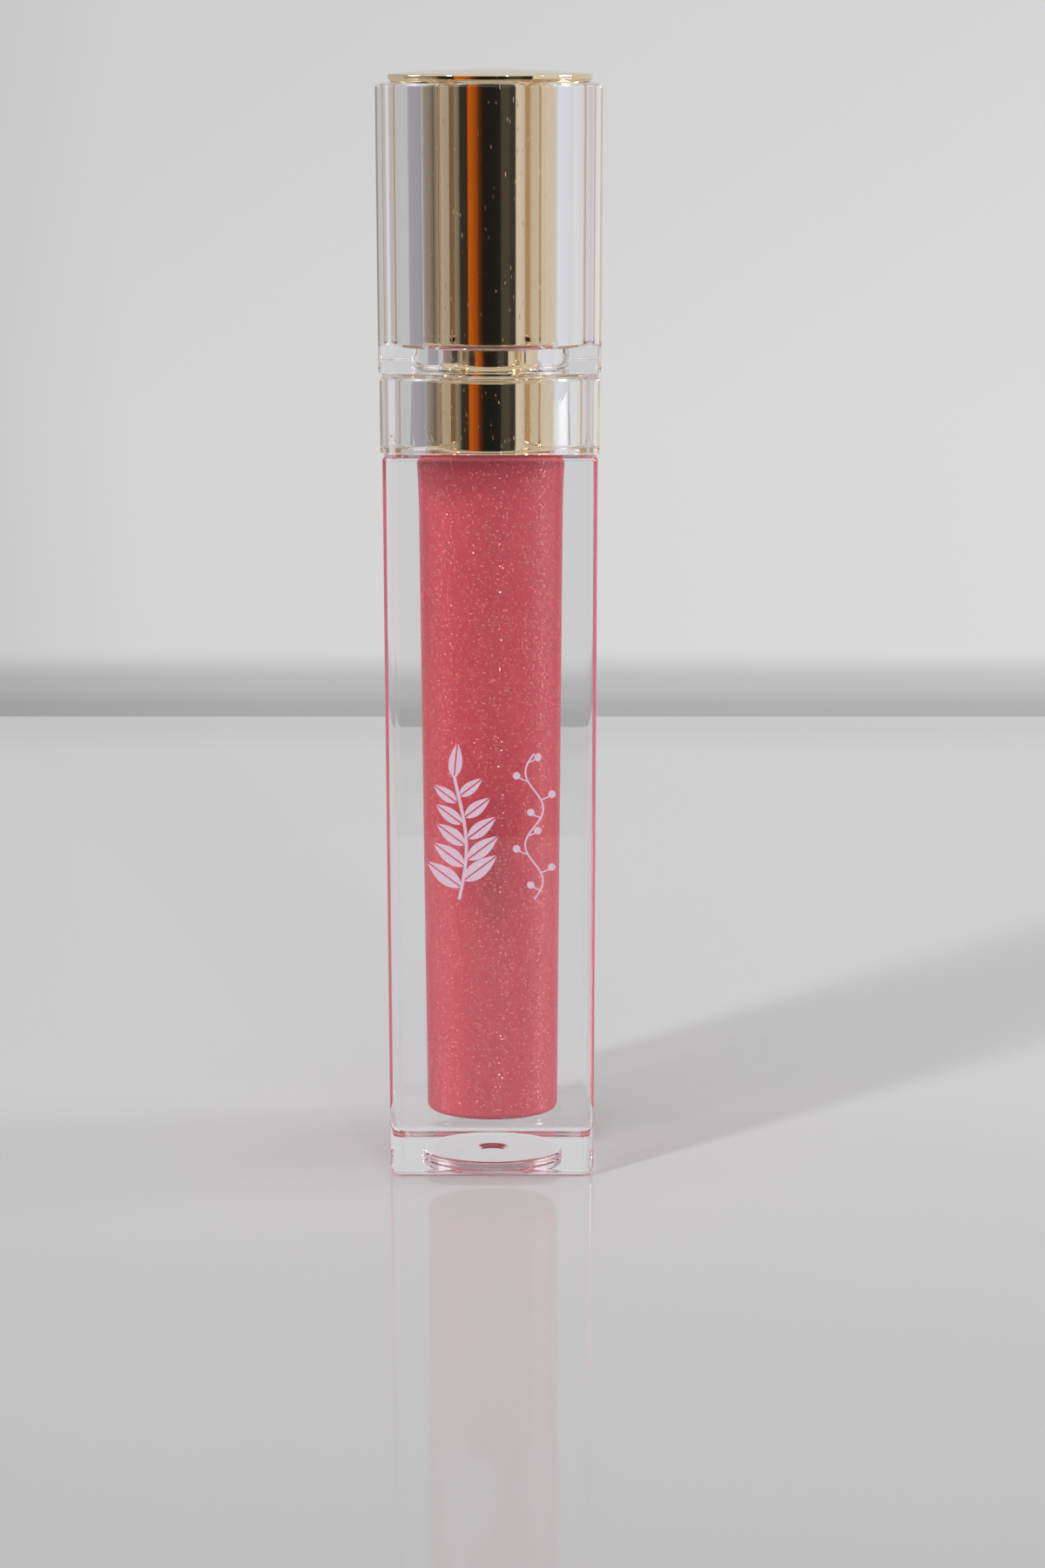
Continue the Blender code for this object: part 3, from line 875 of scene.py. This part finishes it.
deselect()
for piece in ink_pieces:
    piece.select_set(True)
bpy.context.view_layer.objects.active = ink_pieces[0]
bpy.ops.object.join()
sprig = bpy.context.active_object
sprig.name = "printed_sprig"
sprig.data.name = "printed_sprig"
ink_material, tree, shader = new_material("lilac_ink")
coordinates = new_node(tree, "TexCoord")
film = new_node(tree, "TexNoise", {"Scale": 2200.0, "Detail": 3.0})
ink_tone = ramp_node(tree, [(0.3, (0.70, 0.50, 0.62)), (0.7, (0.76, 0.56, 0.68))])
grain_bump = new_node(tree, "Bump", {"Strength": 0.15, "Distance": 0.00001})
shader.inputs["Roughness"].default_value = 0.45
wire(
    tree,
    (coordinates, "Object", film, "Vector"),
    (film, "Fac", ink_tone, "Fac"),
    (ink_tone, "Color", shader, "Base Color"),
    (film, "Fac", grain_bump, "Height"),
    (grain_bump, "Normal", shader, "Normal"),
)
settle(sprig, "tube", "print_ink", ink_material)


# ---------------------------------------------------------------------------------------------
# Neck collar. One metallised moulding: a skirt glued over the bottle's mouth, a plug seal, the
# small ring that shows above the collar, and the threaded neck that the cap screws on.
# ---------------------------------------------------------------------------------------------
def gilt(name):
    """Pale gold metallising, mirror-bright, with fine hairline scratches and a faint bloom."""
    material, tree, shader = new_material(name)
    shader.inputs["Metallic"].default_value = 1.0
    coordinates = new_node(tree, "TexCoord")
    bloom = new_node(tree, "TexNoise", {"Scale": 180.0, "Detail": 4.0})
    tone = ramp_node(tree, [(0.3, (0.83, 0.68, 0.43)), (0.7, (0.86, 0.72, 0.47))])
    marks = placed_hairlines(tree, coordinates, 0.14)
    polish = map_range(tree, to_range=(0.035, 0.30))
    groove = new_node(tree, "Bump", {"Strength": 0.5, "Distance": 0.00002})
    wire(
        tree,
        (coordinates, "Object", bloom, "Vector"),
        (bloom, "Fac", tone, "Fac"),
        (tone, "Color", shader, "Base Color"),
        (marks, "Mask", polish, "Value"),
        (polish, "Result", shader, "Roughness"),
        (marks, "Mask", groove, "Height"),
        (groove, "Normal", shader, "Normal"),
    )
    return material


thread_pitch = 2.7 * MM


def turn_up(angle):
    """Turn what is selected about Z, anticlockwise from above; with no window the operator is reversed."""
    bpy.ops.transform.rotate(value=-angle, orient_axis="Z", center_override=(0, 0, 0))


def thread_ridge(name, base_radius, crest_radius, start_z, turns):
    """A helical ridge: a rounded section extruded and turned step by step, run out at both ends."""
    steps_per_turn = 72
    run_out_steps = 10
    root_half, crest_half = 0.5 * MM, 0.3 * MM
    deselect()
    bpy.ops.mesh.primitive_circle_add(vertices=8, radius=root_half, rotation=(math.radians(90), 0, 0))
    ridge = bpy.context.active_object
    ridge.name = name
    place_in_mesh(ridge)
    depth = crest_radius - base_radius
    lower_flank = [(0.0, -1.0), (0.55, -0.86), (0.9, -0.62), (1.0, -0.38)]
    upper_flank = [(1.0, 0.38), (0.9, 0.62), (0.55, 0.86), (0.0, 1.0)]
    for vert, (out, along) in zip(ridge.data.vertices, [*lower_flank, *upper_flank]):
        half = root_half + (crest_half - root_half) * out
        vert.co = (base_radius + depth * out, 0.0, start_z + along * half)
    edit(ridge)
    bpy.ops.mesh.edge_face_add()
    count = round(turns * steps_per_turn)
    first_share = 0.2
    resize(first_share, 1.0, 1.0, (base_radius, 0, start_z))
    share = first_share
    for step in range(1, count + 1):
        turn = math.tau * step / steps_per_turn
        z = start_z + thread_pitch * step / steps_per_turn
        extrude(0, 0, thread_pitch / steps_per_turn)
        turn_up(math.tau / steps_per_turn)
        next_share = min(1.0, first_share + (1 - first_share) * min(step, count - step) / run_out_steps)
        root = (base_radius * math.cos(turn), base_radius * math.sin(turn), z)
        resize(next_share / share, next_share / share, 1.0, root)
        share = next_share
    close_outwards()
    return ridge


neck_low, neck_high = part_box("neck_collar")
skirt_radius = neck_high.x
ring_radius = 6.35 * MM
root_radius = 5.75 * MM
neck_bore = 4.55 * MM
ring_top = 76.3 * MM
plate_top = collar_high.z - 0.3 * MM
plate_under = bottle_high.z + 0.3 * MM
skirt_inside = mouth_wall + 0.45 * MM
plug_foot = neck_low.z + 3.2 * MM
plug_radius = mouth_radius - 0.3 * MM
soft = 0.3 * MM
neck = turned(
    "neck_gilt_moulding",
    [
        (neck_bore, plug_foot),
        (plug_radius, plug_foot),
        (plug_radius, plate_under),
        (skirt_inside, plate_under),
        (skirt_inside, neck_low.z),
        (skirt_radius - 0.1 * MM, neck_low.z),
        (skirt_radius, neck_low.z + 0.1 * MM),
        *arc(skirt_radius - soft, plate_top - soft, soft, 0, 90),
        *arc(ring_radius + 0.15 * MM, plate_top + 0.15 * MM, 0.15 * MM, 270, 180, steps=3),
        *arc(ring_radius - soft, ring_top - soft, soft, 0, 90),
        (root_radius, ring_top + 0.15 * MM),
        *arc(root_radius - soft, neck_high.z - soft, soft, 0, 90),
        (neck_bore, neck_high.z),
        (neck_bore, plug_foot),
    ],
    ends="ring",
)
thread_start = 78.2 * MM
thread_bite = 0.3 * MM
neck_crest = 6.35 * MM
neck_turns = 1.5
neck_thread = thread_ridge("neck_thread", root_radius - thread_bite, neck_crest, thread_start, neck_turns)
combine(neck, "UNION", neck_thread)
finish_shading(neck)
neck_gilt = gilt("neck_gold_metallising")
settle(neck, "tube", "neck_gilt", neck_gilt, "neck_collar")


# ---------------------------------------------------------------------------------------------
# Collar shell. A square ring moulded in clear plastic like the cap's shell, bored through and
# glued round the gilt skirt.
# ---------------------------------------------------------------------------------------------
collar_width = collar_high.x - collar_low.x
collar = square_block(
    "collar_clear_ring",
    collar_low.z,
    collar_high.z,
    collar_width,
    collar_width,
    upright_radius=1.0 * MM,
    foot_radius=0.25 * MM,
    top_radius=0.25 * MM,
)
collar_bore_radius = skirt_radius + 0.15 * MM
collar_bore = turned(
    "collar_bore",
    [(collar_bore_radius, collar_low.z - 1.0 * MM), (collar_bore_radius, collar_high.z + 1.0 * MM)],
)
combine(collar, "DIFFERENCE", collar_bore)
finish_shading(collar)
# Its stray tint is a painted warm reflection.
shell_plastic = clear_plastic(
    "shell_clear_plastic",
    tint=(0.985, 0.982, 0.99),
    ior=1.49,
    shade=(0.44, 0.44, 0.44),
    stray=(0.92, 0.87, 0.86),
)
settle(collar, "tube", "shell_clear", shell_plastic, "collar_shell")


# ---------------------------------------------------------------------------------------------
# Wiper. A soft natural-polyethylene sleeve whose flange sits on the neck's rim and whose cone
# ends in the lip that scrapes the stem.
# ---------------------------------------------------------------------------------------------
def moulded_group():
    """Fine moulded skin: a cloudy tone and a shallow grain, both from 0 to 1."""
    group = bpy.data.node_groups.new("moulded_skin", "ShaderNodeTree")
    group.interface.new_socket("Vector", in_out="INPUT", socket_type="NodeSocketVector")
    group.interface.new_socket("Cloud Scale", in_out="INPUT", socket_type="NodeSocketFloat")
    group.interface.new_socket("Grain Scale", in_out="INPUT", socket_type="NodeSocketFloat")
    group.interface.new_socket("Cloud", in_out="OUTPUT", socket_type="NodeSocketFloat")
    group.interface.new_socket("Grain", in_out="OUTPUT", socket_type="NodeSocketFloat")
    entry = group.nodes.new("NodeGroupInput")
    result = group.nodes.new("NodeGroupOutput")
    cloud = new_node(group, "TexNoise", {"Detail": 4.0})
    grain = new_node(group, "TexNoise", {"Detail": 2.0})
    wire(
        group,
        (entry, "Vector", cloud, "Vector"),
        (entry, "Vector", grain, "Vector"),
        (entry, "Cloud Scale", cloud, "Scale"),
        (entry, "Grain Scale", grain, "Scale"),
        (cloud, "Fac", result, "Cloud"),
        (grain, "Fac", result, "Grain"),
    )
    return group


moulded_skin = moulded_group()


def moulded(name, dark, light, cloud_scale, grain_scale, roughness, film_top=None):
    """A moulded plastic; film_top is the height below which a rosy film of gloss clings to it."""
    material, tree, shader = new_material(name)
    coordinates = new_node(tree, "TexCoord")
    skin = new_node(
        tree, "Group", {"Cloud Scale": cloud_scale, "Grain Scale": grain_scale}, node_tree=moulded_skin
    )
    tone = ramp_node(tree, [(0.3, dark), (0.7, light)])
    polish = map_range(tree, to_range=(roughness * 0.85, roughness * 1.15))
    grain_bump = new_node(tree, "Bump", {"Strength": 0.2, "Distance": 0.00002})
    wire(
        tree,
        (coordinates, "Object", skin, "Vector"),
        (skin, "Cloud", tone, "Fac"),
        (skin, "Cloud", polish, "Value"),
        (skin, "Grain", grain_bump, "Height"),
        (grain_bump, "Normal", shader, "Normal"),
    )
    colour, rough = tone.outputs["Color"], polish.outputs["Result"]
    if film_top:
        film_raggedness = 0.012
        axes = new_node(tree, "SeparateXYZ")
        ragged = new_node(tree, "Math", {1: film_raggedness}, operation="MULTIPLY_ADD")
        wet = map_range(tree, (film_top + 0.007, film_top + 0.004))
        stained = new_node(tree, "Mix", {"B": (0.72, 0.22, 0.26, 1.0)}, data_type="RGBA")
        slick = new_node(tree, "Mix", {"B": 0.08})
        wire(
            tree,
            (coordinates, "Object", axes, "Vector"),
            (skin, "Cloud", ragged, 0),
            (axes, "Z", ragged, 2),
            (ragged, 0, wet, "Value"),
            (wet, "Result", stained, "Factor"),
            (wet, "Result", slick, "Factor"),
        )
        tree.links.new(colour, stained.inputs["A"])
        tree.links.new(rough, slick.inputs["A"])
        colour, rough = stained.outputs["Result"], slick.outputs["Result"]
    tree.links.new(colour, shader.inputs["Base Color"])
    tree.links.new(rough, shader.inputs["Roughness"])
    return material, shader


wiper_low, wiper_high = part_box("wiper")
flange_under = neck_high.z + 0.3 * MM
sleeve_radius = neck_bore - 0.3 * MM
sleeve_wall = 0.8 * MM
orifice = 1.95 * MM
cone_top = 75.5 * MM
wiper = turned(
    "wiper_sleeve",
    [
        (orifice, wiper_low.z + sleeve_wall),
        (orifice, wiper_low.z + 0.1 * MM),
        *arc(orifice + 0.2 * MM, wiper_low.z + 0.15 * MM, 0.15 * MM, 180, 330),
        (sleeve_radius - 0.1 * MM, cone_top - 0.25 * MM),
        (sleeve_radius, cone_top + 0.1 * MM),
        (sleeve_radius, flange_under - 0.15 * MM),
        (sleeve_radius + 0.1 * MM, flange_under),
        *arc(wiper_high.x - 0.2 * MM, flange_under + 0.2 * MM, 0.2 * MM, -90, 0),
        *arc(wiper_high.x - 0.2 * MM, wiper_high.z - 0.2 * MM, 0.2 * MM, 0, 90),
        (sleeve_radius - sleeve_wall + 0.3 * MM, wiper_high.z),
        (sleeve_radius - sleeve_wall, wiper_high.z - 0.3 * MM),
        (sleeve_radius - sleeve_wall, cone_top + sleeve_wall / 2),
        (orifice, wiper_low.z + sleeve_wall),
    ],
    ends="ring",
    segments=96,
)
finish_shading(wiper)
wiper_plastic, shader = moulded(
    "wiper_soft_plastic",
    dark=(0.74, 0.72, 0.68),
    light=(0.80, 0.78, 0.75),
    cloud_scale=300.0,
    grain_scale=4000.0,
    roughness=0.42,
    film_top=wiper_low.z,
)
shader.inputs["Subsurface Weight"].default_value = 0.15
shader.inputs["Subsurface Scale"].default_value = 0.0005
settle(wiper, "tube", "wiper_soft", wiper_plastic, "wiper")


# ---------------------------------------------------------------------------------------------
# Sealing washer. A die-cut ring of closed-cell foam that floats on the stem, between the
# wiper's flange and the ceiling of the cap's insert.
# ---------------------------------------------------------------------------------------------
washer_low, washer_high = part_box("seal_washer")
washer_hole = 3.6 * MM
cut_round = 0.12 * MM
washer = turned(
    "foam_washer",
    [
        (washer_hole, washer_low.z + cut_round),
        (washer_hole + cut_round, washer_low.z),
        *arc(washer_high.x - cut_round, washer_low.z + cut_round, cut_round, -90, 0, steps=4),
        *arc(washer_high.x - cut_round, washer_high.z - cut_round, cut_round, 0, 90, steps=4),
        *arc(washer_hole + cut_round, washer_high.z - cut_round, cut_round, 90, 180, steps=4),
        (washer_hole, washer_low.z + cut_round),
    ],
    ends="ring",
    segments=96,
)
finish_shading(washer)
foam_material, tree, shader = new_material("washer_closed_cell_foam")
shader.inputs["Roughness"].default_value = 0.85
coordinates = new_node(tree, "TexCoord")
cells = new_node(tree, "TexVoronoi", {"Scale": 5200.0}, feature="DISTANCE_TO_EDGE")
foam_tone = ramp_node(tree, [(0.0, (0.62, 0.61, 0.58)), (0.25, (0.80, 0.79, 0.76))])
pit = new_node(tree, "Bump", {"Strength": 0.6, "Distance": 0.00004})
wire(
    tree,
    (coordinates, "Object", cells, "Vector"),
    (cells, "Distance", foam_tone, "Fac"),
    (foam_tone, "Color", shader, "Base Color"),
    (cells, "Distance", pit, "Height"),
    (pit, "Normal", shader, "Normal"),
)
settle(washer, "seal", "washer_foam", foam_material, "seal_washer")


# ---------------------------------------------------------------------------------------------
# Cap shell. A clear square over-shell with a bore for the can, open above, and a floor with a
# round hole below.
# ---------------------------------------------------------------------------------------------
shell_low, shell_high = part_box("cap_shell")
shell_width_top = shell_high.x - shell_low.x
shell_width_bottom = shell_width_top - 0.3 * MM
shell_bore_radius = 9.0 * MM
shell_hole_radius = 7.0 * MM
shell_floor_z = shell_low.z + 2.0 * MM
cap_shell = square_block(
    "cap_clear_shell",
    shell_low.z,
    shell_high.z,
    shell_width_bottom,
    shell_width_top,
    upright_radius=1.0 * MM,
    foot_radius=0.3 * MM,
    top_radius=0.35 * MM,
)
shell_bore = turned(
    "shell_bore",
    [
        (shell_hole_radius + 0.3 * MM, shell_low.z - 0.2 * MM),
        (shell_hole_radius, shell_low.z + 0.1 * MM),
        (shell_hole_radius, shell_floor_z),
        (shell_bore_radius - 0.25 * MM, shell_floor_z),
        (shell_bore_radius, shell_floor_z + 0.25 * MM),
        (shell_bore_radius, shell_high.z + 1.0 * MM),
    ],
)
combine(cap_shell, "DIFFERENCE", shell_bore)
finish_shading(cap_shell)
settle(cap_shell, "cap", "shell_clear", shell_plastic, "cap_shell")


# ---------------------------------------------------------------------------------------------
# Cap can. The metallised inner cap, pressed into the shell from above until its domed top laps
# the shell's rim.
# ---------------------------------------------------------------------------------------------
can_low, can_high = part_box("cap_can")
lip_radius = can_high.x
can_radius = shell_bore_radius - 0.25 * MM
can_wall = 0.75 * MM
lip_under = shell_high.z + 0.2 * MM
lip_round = 0.12 * MM
lip_height = 0.5 * MM
crown_edge_z = lip_under + lip_height
crown_edge_radius = lip_radius - lip_round
crown_height = can_high.z - crown_edge_z
crown_sphere = (crown_edge_radius**2 + crown_height**2) / (2 * crown_height)
crown = []
crown_steps = 14
for step in range(crown_steps):
    radius = crown_edge_radius * (1 - step / crown_steps)
    crown.append((radius, can_high.z - crown_sphere + math.sqrt(crown_sphere**2 - radius**2)))
inside_radius = can_radius - can_wall
can = turned(
    "cap_gilt_can",
    [
        (0.3 * MM, lip_under - can_wall),
        (inside_radius, lip_under - can_wall),
        (inside_radius, can_low.z),
        *arc(can_radius - soft, can_low.z + soft, soft, -90, 0),
        (can_radius, lip_under - 0.3 * MM),
        (can_radius + 0.1 * MM, lip_under),
        *arc(crown_edge_radius, lip_under + lip_round, lip_round, -90, 0, steps=5),
        *arc(crown_edge_radius, crown_edge_z - lip_round, lip_round, 0, 80, steps=5),
        *crown[1:],
        (0.1 * MM, can_high.z),
    ],
)
finish_shading(can)
cap_gilt = gilt("cap_gold_metallising")
settle(can, "cap", "cap_gilt", cap_gilt, "cap_can")


# ---------------------------------------------------------------------------------------------
# Thread insert. A white moulding pressed into the can: the screw thread below, the ceiling that
# bears on the washer, and the tower that grips the stem's head.
# ---------------------------------------------------------------------------------------------
insert_low, insert_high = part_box("thread_insert")
thread_root = 6.65 * MM
thread_crest = 6.0 * MM
ceiling = 86.9 * MM
plate_over = ceiling + 1.4 * MM
socket_radius = 2.5 * MM
insert_wall = 1.0 * MM
rim_round = 0.2 * MM
insert = turned(
    "cap_insert",
    [
        (socket_radius, ceiling),
        (thread_root - rim_round, ceiling),
        (thread_root, ceiling - rim_round),
        (thread_root, insert_low.z + 0.4 * MM),
        (thread_root + 0.25 * MM, insert_low.z),
        *arc(insert_high.x - rim_round, insert_low.z + rim_round, rim_round, -90, 0, steps=4),
        *arc(insert_high.x - rim_round, insert_high.z - rim_round, rim_round, 0, 90, steps=4),
        (insert_high.x - insert_wall, insert_high.z),
        (insert_high.x - insert_wall, plate_over),
        (socket_radius + insert_wall, plate_over),
        (socket_radius + insert_wall, insert_high.z),
        (socket_radius + rim_round, insert_high.z),
        (socket_radius, insert_high.z - rim_round),
        (socket_radius, ceiling),
    ],
    ends="ring",
)
insert_turns = 1.0
insert_thread = thread_ridge(
    "insert_thread", thread_root + thread_bite, thread_crest, thread_start + thread_pitch / 2, insert_turns
)
combine(insert, "UNION", insert_thread)
finish_shading(insert)
insert_plastic, shader = moulded(
    "insert_white_plastic",
    dark=(0.76, 0.75, 0.72),
    light=(0.82, 0.81, 0.79),
    cloud_scale=240.0,
    grain_scale=3600.0,
    roughness=0.34,
)
settle(insert, "cap", "insert_plastic", insert_plastic, "thread_insert")


# ---------------------------------------------------------------------------------------------
# Wand stem. A slim white moulded rod: a barbed head pressed into the insert's tower, a shoulder
# under the ceiling, and a spigot that carries the applicator.
# ---------------------------------------------------------------------------------------------
stem_low, stem_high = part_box("wand_stem")
tip_low, tip_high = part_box("applicator_tip")
stem_radius = 1.5 * MM
head_radius = socket_radius - 0.3 * MM
shank_radius = head_radius - 0.2 * MM
shoulder_top = ceiling - 0.3 * MM
shoulder_low = shoulder_top - 0.7 * MM
stem_end = tip_high.z + 0.3 * MM
spigot_radius = 0.7 * MM
shoulder_round = 0.15 * MM
stem = turned(
    "wand_rod",
    [
        (0.1 * MM, stem_low.z),
        (spigot_radius - 0.15 * MM, stem_low.z),
        (spigot_radius, stem_low.z + 0.2 * MM),
        (spigot_radius, stem_end),
        (stem_radius - 0.1 * MM, stem_end),
        (stem_radius, stem_end + 0.1 * MM),
        (stem_radius, shoulder_low - 0.8 * MM),
        *arc(stem_high.x - shoulder_round, shoulder_low + shoulder_round, shoulder_round, -60, 0, steps=4),
        *arc(stem_high.x - shoulder_round, shoulder_top - shoulder_round, shoulder_round, 0, 90, steps=4),
        (shank_radius, shoulder_top),
        (shank_radius, stem_high.z - 1.2 * MM),
        (head_radius, stem_high.z - 1.0 * MM),
        (head_radius - 0.3 * MM, stem_high.z),
        (0.1 * MM, stem_high.z),
    ],
    segments=96,
)
finish_shading(stem)
stem_film_top = 0.066
stem_plastic, shader = moulded(
    "stem_white_plastic",
    dark=(0.76, 0.74, 0.71),
    light=(0.82, 0.80, 0.78),
    cloud_scale=260.0,
    grain_scale=3000.0,
    roughness=0.3,
    film_top=stem_film_top,
)
settle(stem, "wand", "stem_plastic", stem_plastic, "wand_stem")


# ---------------------------------------------------------------------------------------------
# Applicator tip. A soft doe-foot: round where it grips the spigot, then a slanted paddle, flocked
# all over with short nylon and stained by the gloss.
# ---------------------------------------------------------------------------------------------
tip_rings = 40
tip_length = tip_high.z - tip_low.z
tip_bore = spigot_radius + 0.3 * MM
tip_bore_depth = 4.6 * MM
paddle_widths = [1.06, 1.08, 1.12, 1.15, 1.12]
paddle_thicknesses = [1.06, 1.08, 0.98, 0.72, 0.52]
point_start, point_length = 0.78, 0.22
lean_start, lean_length, lean_most = 0.3, 0.7, 0.64


def blend(values, share):
    """Smooth value at a share along evenly spaced values."""
    place = min(share, 0.9999) * (len(values) - 1)
    index = int(place)
    part = place - index
    part = part * part * (3 - 2 * part)
    return values[index] + (values[index + 1] - values[index]) * part


def tip_ring(share):
    """Half width, half thickness and sideways lean of the paddle, from its top to its point."""
    taper = math.sqrt(max(0.0, 1 - max(0.0, (share - point_start) / point_length) ** 2))
    width = blend(paddle_widths, share) * (0.10 + 0.90 * taper)
    thickness = blend(paddle_thicknesses, share) * (0.16 + 0.84 * taper)
    lean = lean_most * max(0.0, (share - lean_start) / lean_length) ** 1.5
    return width * stem_radius, thickness * stem_radius, lean * stem_radius


deselect()
width, thickness, lean = tip_ring(0.0)
bpy.ops.mesh.primitive_circle_add(vertices=64, radius=tip_bore, location=(0, 0, tip_high.z - tip_bore_depth))
tip = bpy.context.active_object
tip.name = "doe_foot"
tip.data.name = "doe_foot"
place_in_mesh(tip)
edit(tip)
bpy.ops.mesh.edge_face_add()
extrude(0, 0, tip_bore_depth)
extrude(0, 0, 0)
share = width / tip_bore
resize(share, share, 1.0, (0, 0, tip_high.z))
for ring in range(1, tip_rings + 1):
    share = ring / tip_rings
    next_width, next_thickness, next_lean = tip_ring(share)
    z = tip_high.z - tip_length * share
    extrude(0, next_lean - lean, -tip_length / tip_rings)
    resize(next_width / width, next_thickness / thickness, 1.0, (0, next_lean, z))
    width, thickness, lean = next_width, next_thickness, next_lean
bpy.ops.mesh.select_all(action="SELECT")
bpy.ops.mesh.remove_doubles(threshold=1e-6)
close_outwards()
finish_shading(tip, angle_deg=50)
flock_material, tree, shader = new_material("stained_flock")
shader.inputs["Roughness"].default_value = 0.75
shader.inputs["Sheen Weight"].default_value = 0.6
shader.inputs["Sheen Roughness"].default_value = 0.4
coordinates = new_node(tree, "TexCoord")
fibres = new_node(tree, "TexNoise", {"Scale": 9000.0, "Detail": 2.0})
stain = new_node(tree, "TexNoise", {"Scale": 320.0, "Detail": 3.0})
stain_tone = ramp_node(tree, [(0.25, (0.66, 0.17, 0.20)), (0.75, (0.80, 0.34, 0.36))])
pile = new_node(tree, "Bump", {"Strength": 0.9, "Distance": 0.00006})
wire(
    tree,
    (coordinates, "Object", fibres, "Vector"),
    (coordinates, "Object", stain, "Vector"),
    (stain, "Fac", stain_tone, "Fac"),
    (stain_tone, "Color", shader, "Base Color"),
    (fibres, "Fac", pile, "Height"),
    (pile, "Normal", shader, "Normal"),
)
settle(tip, "cap", "tip_flock", flock_material, "applicator_tip")
